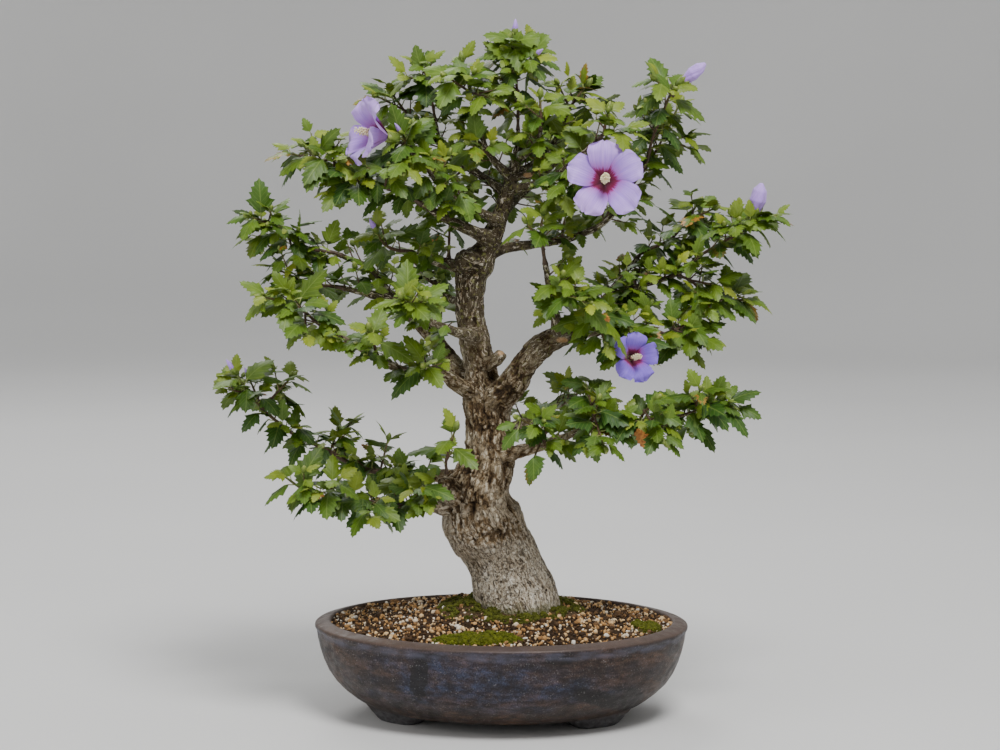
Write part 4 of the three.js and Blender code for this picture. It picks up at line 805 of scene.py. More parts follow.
def petal_finish():
    """Petals: `look` holds the place from throat to edge, across, a tone and how deep the eye is."""
    f = Finish("lavender_petal", 0.55, Sheen_Weight=0.25, Specular_IOR_Level=0.3)
    along, across, tone, eye = f.look()
    body = f.ramp(along, (0.2, (190, 148, 236)), (0.55, (206, 172, 250)), (0.97, (221, 194, 255)))
    # Tone 0, which only the small bloom takes, is a darker blue-violet: painted shade.
    hue = f.ramp(tone, (0.0, (176, 166, 228)), (0.2, (240, 234, 250)), (1.0, (255, 242, 250)))
    body = f.tint(body, 1.0, hue)
    # Fine veins fan out from the throat.
    fan = {"X": f.times(across, 26.0), "Y": f.times(along, 1.2), "Z": f.times(tone, 7.0)}
    streaks = f.noise(f.node("CombineXYZ", fan).outputs["Vector"], 1.0, 3.0, 0.4)
    body = f.tint(body, 0.6, f.ramp(streaks, (0.4, (204, 188, 236)), (0.62, 1.0)))
    # The eye ends in rays along the veins.
    ray = f.plus(along, f.times(f.minus(streaks, 0.5), -0.34))
    halo = f.ramp(ray, (0.2, 1.0), (0.44, 0.0))
    body = f.blend(body, f.times(halo, f.times(eye, 0.55)), (186, 92, 178))
    red = f.ramp(along, (0.04, (70, 6, 34)), (0.17, (120, 10, 64)), (0.27, (156, 28, 106)))
    body = f.blend(body, f.times(f.ramp(ray, (0.205, 1.0), (0.265, 0.0)), eye), red)
    return f.done(body, f.plus(streaks, f.times(f.noise(f.place(), 1.2, 2.0), 0.3)), 0.3, 0.5)


def bark_finish():
    """Bark: `look` holds painted crevice shade, height, thickness and pale cut wood; `grain` runs along the
    limb.
    """
    f = Finish("bark", 0.85, Specular_IOR_Level=0.25)
    crevice_shade, height, _, cut = f.look()
    place = f.place()
    grain = f.stretched(f.node("Attribute", {}, attribute_name="grain").outputs["Vector"], (1, 1, 1))
    bend = {0: f.noise(place, 7.0, 3.0, output="Color"), 1: (7, 7, 7), 2: grain}
    sway = f.node("VectorMath", bend, operation="MULTIPLY_ADD").outputs[0]
    silver = f.clouds(place, 14.0, 3.0, (0.3, (204, 192, 172)), (0.7, (255, 250, 238)))
    tan = f.clouds(place, 9.0, 4.0, (0.32, (142, 125, 99)), (0.68, (202, 187, 160)))
    olive = f.clouds(place, 7.0, 4.0, (0.3, (66, 58, 44)), (0.7, (116, 106, 84)))

    def reached(size, share, *stops):
        """Where the bark changes with height, at a wandering border."""
        return f.ramp(f.plus(height, f.times(f.noise(place, size, 3.0), share)), *stops)

    low = reached(20.0, 0.12, (0.27, 1.0), (0.4, 0.0))
    high = reached(16.0, 0.1, (0.5, 0.0), (0.66, 1.0))
    colour = f.blend(f.blend(tan, low, silver), high, olive)
    # Fibres run along the limb; cracks are long or round by the cells' shape, and broken by noise.
    along = f.stretched(sway, (1.0, 1.0, 0.22))
    fibre = f.noise(along, 1.6, 4.0, 0.8)
    plates = f.stretched(sway, (1.0, 1.0, 0.5))
    seam = f.ramp(f.cells(plates, 3.4, "DISTANCE_TO_EDGE"), (0.02, 1.0), (0.13, 0.0))
    seam = f.times(seam, f.clouds(place, 3.2, 3.0, (0.42, 0.0), (0.56, 1.0)))
    seam = f.times(seam, f.minus(1.0, f.times(high, 0.6)))
    fibrous = f.ramp(fibre, (0.34, (126, 108, 88)), (0.48, (226, 220, 208)), (0.6, 1.0))
    colour = f.blend(f.tint(colour, 0.85, fibrous), f.times(seam, 0.8), (70, 56, 42))
    # Short dark dashes cover the silvery foot.
    dashes = f.clouds(plates, 2.3, 2.0, (0.39, (74, 61, 47)), (0.45, 1.0), distortion=1.2)
    colour = f.tint(colour, f.times(low, 0.85), dashes)
    grit = f.noise(place, 0.9, 3.0)
    colour = f.tint(colour, 0.7, f.ramp(grit, (0.34, (186, 180, 171)), (0.6, 1.0)))
    bright = f.maths("GREATER_THAN", f.noise(along, 2.4, 4.0, 0.8), 0.585)
    colour = f.blend(colour, f.times(bright, 0.55), (230, 219, 198))
    # Painted shade: crevices, pits and hollows darken, partly with the bark's own darker colour there.
    colour = f.tint(colour, 1.0, f.ramp(crevice_shade, (0.1, 1.0), (0.5, (170, 152, 128)), (1.0, (80, 66, 50))))
    # Lichen and moss dust the upper trunk; the foot is damp where it meets the moss.
    lichen = f.maths("GREATER_THAN", f.noise(place, 4.0, 5.0), 0.6)
    colour = f.blend(colour, f.times(lichen, high, 0.5), (140, 142, 78))
    colour = f.blend(colour, f.times(reached(6.0, 0.04, (0.174, 1.0), (0.188, 0.0)), 0.7), (96, 98, 52))
    colour = f.blend(colour, cut, f.clouds(place, 3.0, 3.0, (0.3, (196, 150, 104)), (0.7, (226, 190, 148))))
    return f.done(colour, f.minus(f.plus(fibre, f.times(grit, 0.35)), f.times(seam, 0.7)), 1.2, 0.9)


def glaze_finish():
    """Iron-brown stoneware glaze with a slate-blue zone; `look` holds height, zone, stains and bare clay."""
    f = Finish("pot_glaze", 0.4, Specular_IOR_Level=0.35, Coat_Weight=0.08, Coat_Roughness=0.3)
    height, front, stain, clay = f.look()
    place, level = f.place(), f.place((0.42, 0.42, 1.25))
    colour = f.clouds(level, 16.0, 6.0, (0.3, (40, 28, 21)), (0.48, (66, 48, 37)), (0.7, (104, 76, 57)),
                      distortion=0.5)
    # The slate-blue zone lies in the middle of the wall, broken by veils of brown.
    zone = f.times(f.ramp(height, (0.24, 0.0), (0.48, 1.0), (0.76, 0.95), (0.88, 0.4)), front)
    cloud = f.clouds(level, 26.0, 5.0, (0.36, 0.0), (0.6, 1.0), distortion=0.4)
    flow = f.clouds(f.place((0.8, 0.8, 1.0)), 7.0, 6.0, (0.34, 0.45), (0.6, 1.0), distortion=0.6)
    blue = f.times(f.times(zone, flow), f.maths("MAXIMUM", cloud, f.times(zone, 0.7)))
    slate = f.clouds(place, 11.0, 4.0, (0.32, (40, 49, 70)), (0.68, (76, 97, 142)))
    colour = f.blend(colour, f.times(blue, 0.92), slate)
    drips = f.clouds(f.place((1.0, 1.0, 0.1)), 13.0, 3.0, (0.64, 0.0), (0.7, 1.0), distortion=0.4)
    wall = f.ramp(height, (0.25, 0.0), (0.4, 1.0), (0.86, 1.0), (0.9, 0.0))
    colour = f.blend(colour, f.times(drips, wall, 0.6), (34, 29, 28))
    streaky = f.noise(level, 9.0, 5.0)
    chips = f.ramp(f.plus(streaky, f.times(height, -0.35)), (0.53, 0.0), (0.57, 1.0))
    colour = f.blend(colour, f.times(chips, 0.75), (36, 31, 29))
    # Dark stains: a run of glaze, and bare spots near the foot.
    stained = f.ramp(f.plus(stain, f.times(f.noise(place, 4.0, 4.0), 0.8)), (0.64, 0.0), (0.8, 1.0))
    colour = f.blend(colour, f.times(stained, 0.85), (26, 22, 22))
    specks = f.ramp(f.cells(place, 2.4), (0.2, 1.0), (0.33, 0.0))
    sparse = f.clouds(place, 5.0, 3.0, (0.42, 0.0), (0.62, 1.0))
    colour = f.blend(colour, f.times(specks, sparse, 0.5), (150, 146, 146))
    colour = f.tint(colour, 0.9, f.clouds(place, 1.3, 4.0, (0.32, (120, 116, 114)), (0.66, 1.0)))
    colour = f.tint(colour, 0.8, f.clouds(level, 4.0, 3.0, (0.36, (150, 140, 136)), (0.6, 1.0)))
    # A painted highlight, a paler blue under the lip broken into patches; the glaze is warm grey on the lip
    # and thin on the feet.
    under_lip_highlight = f.ramp(height, (0.84, 0.0), (0.885, 1.0), (0.93, 1.0), (0.955, 0.0))
    wear_and_highlight_patches = f.clouds(level, 9.0, 4.0, (0.4, 0.1), (0.6, 1.0))
    colour = f.blend(colour, f.times(under_lip_highlight, wear_and_highlight_patches, 0.45), (96, 97, 116))
    colour = f.blend(colour, f.times(f.ramp(height, (0.945, 0.0), (0.965, 1.0)), 0.6), (100, 83, 74))
    colour = f.blend(colour, clay, f.clouds(place, 4.0, 4.0, (0.3, (50, 48, 48)), (0.7, (98, 96, 98))))
    rough = f.clouds(place, 9.0, 4.0, (0.3, 0.34), (0.7, 0.62))
    pitted = f.plus(f.noise(place, 1.6, 4.0), f.times(f.noise(level, 9.0, 4.0), 2.0))
    return f.done(colour, pitted, 0.5, 0.65, Roughness=rough)


def soil_finish():
    f = Finish("soil", 0.95, Specular_IOR_Level=0.2)
    place = f.place()
    colour = f.clouds(place, 3.5, 5.0, (0.3, (32, 22, 14)), (0.55, (62, 45, 29)), (0.75, (100, 76, 52)))
    return f.done(colour, f.noise(place, 1.6, 5.0), 1.6, 1.0)


def moss_finish():
    """Moss: `look` holds brightness of the tuft, height in the cushion and bare soil between the tufts."""
    f = Finish("moss", 0.9, Specular_IOR_Level=0.2)
    bright, height, bare, _ = f.look()
    place = f.place()
    deep = f.clouds(place, 6.0, 3.0, (0.3, (38, 39, 14)), (0.7, (84, 86, 34)))
    fresh = f.clouds(place, 5.0, 3.0, (0.3, (64, 70, 9)), (0.7, (104, 110, 18)))
    colour = f.blend(f.blend(deep, bright, fresh), f.times(height, 0.45), (128, 132, 44))
    colour = f.blend(colour, bare, f.clouds(place, 2.0, 4.0, (0.3, (44, 33, 24)), (0.7, (104, 82, 56))))
    return f.done(colour, f.noise(place, 0.8, 3.0), 0.8, 0.8)


SPRAY_FINISHES = [
    leaf_finish("leaf", (164, 178, 62), (108, 138, 34), (62, 98, 28), (154, 174, 86), 0.42),
    leaf_finish("leaf_underside", (156, 170, 76), (122, 146, 58), (90, 120, 50), (164, 180, 106), 0.25),
    grainy_finish(
        "young_stem", 0.62,
        [(0.0, (94, 76, 60)), (0.55, (104, 76, 54)), (0.85, (108, 98, 50)), (1.0, (104, 124, 48))],
        (0.8, 1.6, 3.0, (0.35, (150, 140, 130)), (0.65, 1.0)), (0.9, 3.0, 0.35, 0.7)),
    grainy_finish(
        "calyx", 0.5, [(0.0, (80, 108, 36)), (0.75, (134, 154, 64)), (1.0, (176, 186, 104))],
        (0.6, 1.8, 2.0, (0.3, (190, 190, 170)), (0.7, 1.0)), (0.8, 2.0, 0.2, 0.6)),
    petal_finish(),
]
TOP, UNDER, WOODY, GREEN, LILAC = range(5)
PETAL = SPRAY_FINISHES[LILAC]
POLLEN = grainy_finish(
    "pollen_column", 0.65, [(0.0, (206, 120, 150)), (0.18, (244, 232, 190)), (1.0, (255, 250, 214))],
    (0.6, 0.6, 2.0, (0.35, (226, 206, 150)), (0.65, 1.0)), (0.5, 2.0, 0.2, 0.6))
GRAVEL = grainy_finish(
    "gravel", 0.8,
    [(0.0, (48, 33, 20)), (0.22, (98, 72, 46)), (0.42, (164, 122, 76)), (0.6, (210, 162, 102)),
     (0.78, (250, 216, 164)), (1.0, (255, 251, 240))],
    (0.9, 1.1, 4.0, (0.3, (200, 192, 182)), (0.65, 1.0)), (0.9, 3.0, 0.5, 0.7), Specular_IOR_Level=0.35)
MOSS_GREEN = moss_finish()


# Wood
def wood_lines():
    """Each limb's places and radii, as in the solid model."""
    lines = {}
    for name, route in WOOD.items():
        radii = [radius for *_, radius in route]
        lines[name] = (np.array([seen(place) for place in route]), np.array(radii, float))
    lines["trunk"][0][0][:2] = BASE_CENTRE
    return lines


WOOD_LINES = wood_lines()


def limb_tubes():
    limbs = Cluster()
    for name, (places, radii) in WOOD_LINES.items():
        if name == "trunk":
            places = np.vstack([[*BASE_CENTRE, places[0][2] - FOOT_DEPTH], places])
            radii = np.r_[radii[0] - 1, radii]
        route, widths = smooth_route(places, radii, WOOD_STEP)
        limbs.add(*tube(route, widths, 20 if widths[0] > 9 else 14))
    return np.vstack(limbs.points), np.vstack(limbs.faces)


def read_all(items, key, kind):
    values = np.zeros(3 * len(items), kind)
    items.foreach_get(key, values)
    return values.reshape(-1, 3)


def remeshed(points, faces, voxel, smoothing):
    """The outer skin of overlapping closed shapes, evenly meshed, in millimetres, with its normals."""
    mesh = new_mesh("limbs", points, faces)
    draft = in_scene(bpy.data.objects.new("limbs", mesh))
    steps = {
        "REMESH": {"mode": "VOXEL", "voxel_size": voxel * MM},
        "SMOOTH": {"iterations": smoothing, "factor": 0.5},
        "TRIANGULATE": {"quad_method": "SHORTEST_DIAGONAL"},
    }
    for kind, settings in steps.items():
        modifier = draft.modifiers.new(kind, kind)
        for key, value in settings.items():
            setattr(modifier, key, value)
    made = bpy.data.meshes.new_from_object(draft.evaluated_get(bpy.context.evaluated_depsgraph_get()))
    co = read_all(made.vertices, "co", np.float32).astype(float)
    corners = read_all(made.polygons, "vertices", np.int32)
    normals = read_all(made.vertex_normals, "vector", np.float32).astype(float)
    bpy.data.objects.remove(draft)
    for old in (mesh, made):
        bpy.data.meshes.remove(old)
    return co / MM - SHIFT, corners, normals


def limb_coordinates(points):
    """For each point: the place round and along its limb in millimetres, and the limb's radius."""
    best = np.full(len(points), np.inf)
    grain, thickness = np.zeros((len(points), 3)), np.zeros(len(points))
    for number, (places, radii) in enumerate(WOOD_LINES.values()):
        places, radii = smooth_route(places, radii, GRAIN_STEP)
        side, across = route_frames(places)
        travelled = travel(places)
        margin = radii.max() + 12
        inside = np.all((points > places.min(0) - margin) & (points < places.max(0) + margin), axis=1)
        chosen = np.flatnonzero(inside)
        for i in range(len(places) - 1):
            a, run = places[i], places[i + 1] - places[i]
            t = np.clip((points[chosen] - a) @ run / run.dot(run), 0, 1)
            off = points[chosen] - (a + t[:, None] * run)
            radius = radii[i] + (radii[i + 1] - radii[i]) * t
            distance = np.linalg.norm(off, axis=1) - radius
            near = distance < best[chosen]
            if not near.any():
                continue
            spot, t, off, radius = chosen[near], t[near], off[near], radius[near]
            sideways = side[i] + t[:, None] * (side[i + 1] - side[i])
            crossways = across[i] + t[:, None] * (across[i + 1] - across[i])
            turn = np.arctan2((off * crossways).sum(1), (off * sideways).sum(1))
            reach = np.maximum(radius, 3.0)
            along = travelled[i] + t * (travelled[i + 1] - travelled[i])
            grain[spot] = np.c_[reach * np.cos(turn) + 200 * number, reach * np.sin(turn), along]
            thickness[spot] = radius
            best[spot] = distance[near]
    return grain, thickness


def bark_relief(points, normals, grain, thickness):
    """How far bark stands out from a smooth limb, and how much painted shade darkens its crevices."""
    z = points[:, 2]
    pixels = pixels_of(points)
    front = smoothstep(0.05, 0.4, -normals[:, 1])
    size = np.clip(thickness / 20, 0.08, 1)
    upper = smoothstep(*UPPER_STARTS, z)
    base = 1 - smoothstep(*BASE_ENDS, z)
    middle = (1 - upper) * (1 - base)

    def zones(at_base, in_middle, above):
        return at_base * base + in_middle * middle + above * upper

    # Plates are long cells with a wandering edge; knobs are round ones.
    fray = drift_at(points, 4.5, 5, 47, 83)
    warped = grain + 4.5 * drift_at(points, 13.0, 0, 31, 67) + 1.6 * fray
    plates = cells_at(warped * PLATE_SHAPE / PLATE_SIZE)
    crack = 1 - smoothstep(0.02, 0.26, plates[:, 1] - plates[:, 0])
    crack *= smoothstep(-0.35, 0.25, noise_at(points + 11, 17.0))
    knobs = cells_at((points + 1.5 * fray) * KNOB_SHAPE / KNOB_SIZE)
    bead = 1 - smoothstep(0.15, 0.85, knobs[:, 0])
    pits = 1 - smoothstep(0.02, 0.3, knobs[:, 1] - knobs[:, 0])
    fibres = noise_at(warped * (1, 1, 0.2), 3.2)
    crotch = smoothstep(*CROTCH_STARTS, z) * (1 - smoothstep(*CROTCH_ENDS, z))
    out = size * (
        2.2 * noise_at(points, 24.0) * (0.4 + 0.6 * (1 - base))
        + 1.5 * noise_at(warped * (1, 1, 0.16), 7.0) * (0.4 + 0.6 * middle)
        + 0.9 * fibres * zones(0.4, 1, 0.4)
        + noise_at(points, 8.0) * zones(0.4, 0.9, 1.4)
        - crack * zones(0.3, 2.3, 0.9)
        + bead * (zones(0.5, 0.3, 0.8) + 0.9 * crotch)
    )
    # Painted shade, partly the bark's own darker colour: cracks, pits between knobs and sunken fibres darken.
    crevice_shade = crack * zones(0.1, 0.85, 0.4) + pits * zones(0.25, 0.12, 0.28)
    crevice_shade += 0.35 * smoothstep(0.1, 0.6, -fibres) * middle
    crevice_shade *= smoothstep(2.5, 9, thickness)
    for *spot, push in TRUNK_FORMS:
        shape = patch(pixels, *spot) * front
        out += push * shape
        # Hollows pushed into the trunk take painted shade by their depth.
        crevice_shade += max(-push, 0) * 0.16 * shape
    wrinkled = patch(pixels, *WRINKLES) * front
    out += wrinkled * (1.1 * bead + 0.8 * noise_at(points * (1, 1, 2.0), 5.0))
    # The wrinkled patch takes painted shade in the pits between its knobs.
    crevice_shade += wrinkled * 0.35 * pits
    out += FLARE * (1 - smoothstep(*FLARE_HEIGHTS, z)) * (1 + 0.5 * noise_at(points * (1, 1, 0.3), 26.0))
    return out, np.clip(crevice_shade, 0, 1)


def make_wood():
    points, faces, normals = remeshed(*limb_tubes(), WOOD_VOXEL, 4)
    grain, thickness = limb_coordinates(points)
    out, crevice_shade = bark_relief(points, normals, grain, thickness)
    pixels = pixels_of(points)
    cut = sum(patch(pixels, *spot) for spot in CUTS) * smoothstep(0.0, 0.5, -normals[:, 1])
    cut = np.clip(smoothstep(0.35, 0.6, cut), 0, 1)
    points = points + normals * (out * (1 - 0.7 * cut))[:, None]
    looks = np.c_[crevice_shade * (1 - cut), points[:, 2] / TREE_HEIGHT, np.clip(thickness / 40, 0, 1), cut]
    mesh = new_mesh("bark_and_limbs", points, faces)
    finish_piece("bark_and_limbs", mesh, looks, [bark_finish()], ["wood"])
    set_numbers(mesh, "grain", "FLOAT_VECTOR", "vector", grain)


# Leafy shoots
Shoot = namedtuple("Shoot", "points radii key")
Site = namedtuple("Site", "root stalk blade normal length base leaf")


def nearest_wood(point):
    """The nearest place on a limb's centre line, its radius and direction, and whether it ends the limb."""
    best = (math.inf,)
    for places, radii in WOOD_LINES.values():
        for i in range(len(places) - 1):
            run = places[i + 1] - places[i]
            t = min(max((point - places[i]).dot(run) / run.dot(run), 0), 1)
            place = places[i] + run * t
            distance = np.linalg.norm(place - point)
            if distance < best[0]:
                ending = t > 0.98 and i + 2 == len(places)
                best = (distance, place, radii[i] + (radii[i + 1] - radii[i]) * t, unit(run), ending)
    return best[1:]


def tapering(points, thick, thin, key):
    shares = np.arange(len(points)) / (len(points) - 1)
    return Shoot(points, thick + (thin - thick) * shares, key)


def plan_spray(spray, number):
    """A spray's stem and side twigs, as in the solid model."""
    place, radius, along, ending = nearest_wood(seen(spray.at))
    places = [seen(p) for p in spray.stem]
    out = along if ending else unit(places[0] - place)
    stem_radius = 0.92 * radius if ending else min(STEM_ROOT_RADIUS, 0.85 * radius)
    off = FIT if ending else radius + FIT + 1.2 * stem_radius * abs(out.dot(along))
    start = place + out * off
    further = [p for p in places if np.linalg.norm(p - start) > STEM_CLEAR]
    stem = tapering([start, start + out * STEM_LEAD, *further], stem_radius, STEM_TIP_RADIUS, number * 100)
    twigs = [twig_to(tip, stem.points, stem.key + k) for k, tip in enumerate(spray.tips, 1)]
    return [stem, *twigs]


def twig_to(tip, route, key):
    end = seen(tip)
    fork = min(route[1:-1] or route[1:2], key=lambda p: abs(np.linalg.norm(p - end) - TWIG_REACH))
    return Shoot([fork, end], np.array(TWIG_RADII), key)


def leaf_distance(number):
    return LEAF_GAP + LEAF_GAP_GROWTH * number**LEAF_GAP_POWER


def leaf_site(shoot, leaf, attempt):
    """Where a shoot's leaf stands and how it lies, as in the solid model."""
    draw = seeded(shoot.key * 97 + leaf * 13 + attempt * 5 + 1)
    for _ in range(3):
        draw()
    points = shoot.points
    back = len(points) - 1
    left = leaf_distance(leaf)
    while back > 1 and np.linalg.norm(points[back] - points[back - 1]) < left:
        left -= np.linalg.norm(points[back] - points[back - 1])
        back -= 1
    run = points[back] - points[back - 1]
    root = points[back] - run * min(left / np.linalg.norm(run), 0.8)
    along = unit(run)
    side = unit(across_from(along))
    astray = TURN_SPREAD + TURN_SPREAD_BY_TRY * attempt
    turn = shoot.key * 1.3 + leaf * GOLDEN_TURN + (draw() - 0.5) * astray
    lean = min(LEAF_LEAN + LEAN_GROWTH * leaf, MOST_LEAN) + (draw() - 0.5) * LEAN_SPREAD
    stalk = spoke(along, spoke(side, np.cross(along, side), turn), lean)
    stalk[2] = (STALK_LIFT if stalk[2] < 0 else 1) * stalk[2] + STALK_RISE
    stalk = unit(stalk)
    blade = stalk.copy()
    droop, droop_spread, droop_with_age = BLADE_DROOP
    blade[2] = max(blade[2] - droop - droop_spread * draw() - droop_with_age * leaf, STEEPEST_BLADE)
    blade = unit(blade)
    outwards = FACE_OUTWARDS / (math.hypot(blade[0], blade[1]) + 1e-6)
    front = np.clip((FRONT_MIDDLE - root[1]) / FRONT_REACH, *FRONT_LIMITS)
    up = np.array([outwards * blade[0], outwards * blade[1] - front, 1.0])
    normal = unit(up - blade * up.dot(blade))
    normal = spoke(normal, np.cross(normal, blade), (draw() - 0.5) * ROLL_SPREAD)
    length = BLADE_LENGTHS[min(leaf, len(BLADE_LENGTHS) - 1)] * chance(draw, *BLADE_SIZE)
    base = root + stalk * (STALK_LENGTH + min(leaf, 6) * STALK_GROWTH)
    return Site(root, stalk, blade, normal, length, base, leaf)


def on_blade(site, x, y):
    lateral = np.cross(site.normal, site.blade)
    fold = LEAF_FOLD * abs(y) - LEAF_ARCH * x * x
    return site.base + site.length * (site.blade * x + lateral * y + site.normal * fold)


def solid_numbers(shoot, single, main):
    """Which of a shoot's leaves the solid model may hold."""
    if not main:
        return SOLID_ON_TWIG
    numbers = list(SOLID_ON_SHORT_STEM if single else SOLID_ON_STEM)
    n = 8
    while leaf_distance(n) < travel(shoot.points)[-1] - 12:
        numbers.append(n)
        n += 4
    return numbers


def solid_site(shoot, number, probe):
    """The solid model's own leaf, found by its three tips in its node, or None."""
    x, y = SOLID_LOBE
    for attempt in range(LEAF_TRIES):
        site = leaf_site(shoot, number, attempt)
        tips = [on_blade(site, *tip) for tip in ((1, 0), (x, y), (x, -y))]
        if all(probe.find_nearest(Vector((tip + SHIFT) * MM))[3] < ON_SOLID * MM for tip in tips):
            return site
    return None


def leaf_sheet(half_edge, with_middle):
    """One face of a leaf: places [along, across], which points lie inside the edge, and triangles."""
    feet = np.maximum.accumulate(np.clip(half_edge[:, 0] - 1.02 * half_edge[:, 1], 0, 1))
    feet[-1] = 1.0
    count = len(half_edge)
    midrib = np.c_[feet, np.zeros(count)]
    places, inside, faces = [midrib], [np.ones(count)], []
    for sign in (1, -1):
        edge = half_edge * (1, sign)
        middle = [(midrib + (edge - midrib) * MID_ROW, np.ones(count))] if with_middle else []
        inner = 0
        for row, within in [*middle, (edge, np.zeros(count))]:
            outer = count * len(places)
            places.append(row)
            inside.append(within)
            for i in range(count - 1):
                faces += [(inner + i, outer + i, outer + i + 1), (inner + i, outer + i + 1, inner + i + 1)]
            inner = outer
    places = np.vstack(places)
    kept = []
    for face in faces:
        a, b, c = places[list(face)]
        area = (b[0] - a[0]) * (c[1] - a[1]) - (b[1] - a[1]) * (c[0] - a[0])
        if abs(area) > 1e-7:
            kept.append(face if area > 0 else face[::-1])
    return places, np.concatenate(inside), np.array(kept)


UPPER_SHEET, UNDER_SHEET = leaf_sheet(LEAF_EDGE, True), leaf_sheet(LEAF_EDGE, False)
SMALL_SHEET = leaf_sheet(SMALL_EDGE, False)


def add_leaf(cluster, site, draw, tone=None, small=False, older=0.0):
    """A leaf with its stalk: two faces that meet along a toothed, slightly waved edge."""
    root, stalk, blade, normal, length, base, leaf = site
    lateral = np.cross(normal, blade)
    tone = draw() if tone is None else tone
    # Extra age from the spray darkens the leaves: painted shade.
    age = min(LEAF_AGE + AGE_PER_LEAF * leaf + AGE_SPREAD * draw() + older, 1.0)
    widen = chance(draw, *BLADE_WIDTH)
    phase, sag = 6.3 * draw(), BLADE_SAG * draw()
    cup, twist, bend = chance(draw, *BLADE_CUP), draw() - 0.5, draw() - 0.5
    upper, under = (SMALL_SHEET, SMALL_SHEET) if small else (UPPER_SHEET, UNDER_SHEET)
    for (places, inside, faces), sign, slot in ((upper, 1, TOP), (under, -1, UNDER)):
        x, y = places[:, 0], places[:, 1] * widen
        side = np.abs(y)
        wave = WAVE_HEIGHT * np.sin(WAVES * x + phase + 2.0 * np.sign(y)) * (side / 0.35) ** 1.5
        droop = -sag * x**3 - cup * y * y + BLADE_TWIST * twist * x * y
        quilt = QUILT_HEIGHT * np.sin(QUILTS * (x - 1.02 * side)) * (side > 0.02) * inside
        height = LEAF_FOLD * side - LEAF_ARCH * x * x + wave + droop + quilt
        across = y + BLADE_BEND * bend * x * x
        points = base + length * (x[:, None] * blade + across[:, None] * lateral + height[:, None] * normal)
        points += sign * (inside * HALF_THICKNESS)[:, None] * normal
        cluster.add(points, faces[:, ::sign], (x, side, tone, age), slot)
    middle = (root + base) / 2 + UP * -0.06 * np.linalg.norm(base - root)
    widths, sides = (SMALL_STALK_RADII, 3) if small else (STALK_RADII, 4)
    cluster.add(*tube([root - stalk * 0.8, middle, base + blade * 0.02 * length], widths, sides),
                (0.9, 0, tone, age), GREEN)


def add_stem(cluster, shoot):
    points = np.array(shoot.points)
    lead = unit(points[0] - points[1]) * STEM_SINK
    radii = np.r_[shoot.radii[0] * 1.35, shoot.radii]
    route, widths = smooth_route(np.vstack([points[0] + lead, points]), radii, STEM_STEP)
    shares = np.linspace(0, 1, len(route))
    knots = 1 + 0.14 * np.sin(np.arange(len(route)) * 2.1) * (shares < 0.95)
    shape = tube(route, widths * knots * 0.92, STEM_SIDES)
    cluster.add(*shape, (np.repeat(shares, STEM_SIDES), 0, 0, 0), WOODY)


def add_bud(cluster, end, along, size, draw, petals=0.0):
    """A bud: a ribbed green calyx with narrow bracts round its base, and furled petals that may show."""
    axes = bloom_axes(along if abs(along[2]) < 0.98 else along + np.array([0.1, 0, 0]), 6.3 * draw())
    axis, a, b = axes
    ribs = 1 + 0.1 * np.cos(5 * circle(BUD_SIDES))
    shape = lathe(end, axes, scaled(BUD_PROFILE, size), BUD_SIDES, wave=ribs)
    shares = np.linspace(0, 1, len(BUD_PROFILE))
    cluster.add(*shape, (np.repeat(shares, BUD_SIDES), 0, 0, 0), GREEN)
    if petals > 0:
        tip = [(9.0 + 2 * petals, 2.0), (11.5 + 4 * petals, 0.9), (12.2 + 5 * petals, 0.2)]
        furled = scaled([(3.5, 2.2), (7.0, 2.5), *tip], size)
        sides = 15
        shape = lathe(end, axes, furled, sides, 0.3, 1 + 0.12 * np.cos(5 * circle(sides)))
        cluster.add(*shape, (np.repeat((0.4, 0.5, 0.7, 0.85, 0.9), sides), 0, 0.6, 0), LILAC)
    for angle in circle(BUD_BRACTS):
        out = spoke(a, b, angle)
        bract = [axis * 0.3, out * 2.6 + axis * 1.2, out * 3.7 + axis * 4.2]
        points = end + np.array(bract) * size
        cluster.add(*tube(points, np.array([0.5, 0.42, 0.1]) * size, 3), (0.6, 0, 0, 0), GREEN)


# Blooms
def petal_rise(share, radius, opened):
    depth = radius * (BOWL_DEPTH + CLOSED_BOWL * (1 - opened))
    bowl = np.sin(np.minimum(share * 1.25, 1) * 1.57) - 1
    return depth * bowl - PETAL_DROOP * opened * radius * share**3 + CLOSED_LIFT * (1 - opened)


def grid_faces(rows, columns):
    """Triangles of a sheet of points in rows, and which of them are inside its border."""
    row, column = np.meshgrid(np.arange(rows - 1), np.arange(columns - 1), indexing="ij")
    a = (row * columns + column).ravel()
    faces = np.vstack([np.c_[a, a + columns, a + columns + 1], np.c_[a, a + columns + 1, a + 1]])
    inside = np.zeros((rows, columns))
    inside[1:-1, 1:-1] = 1
    return faces, inside.ravel()


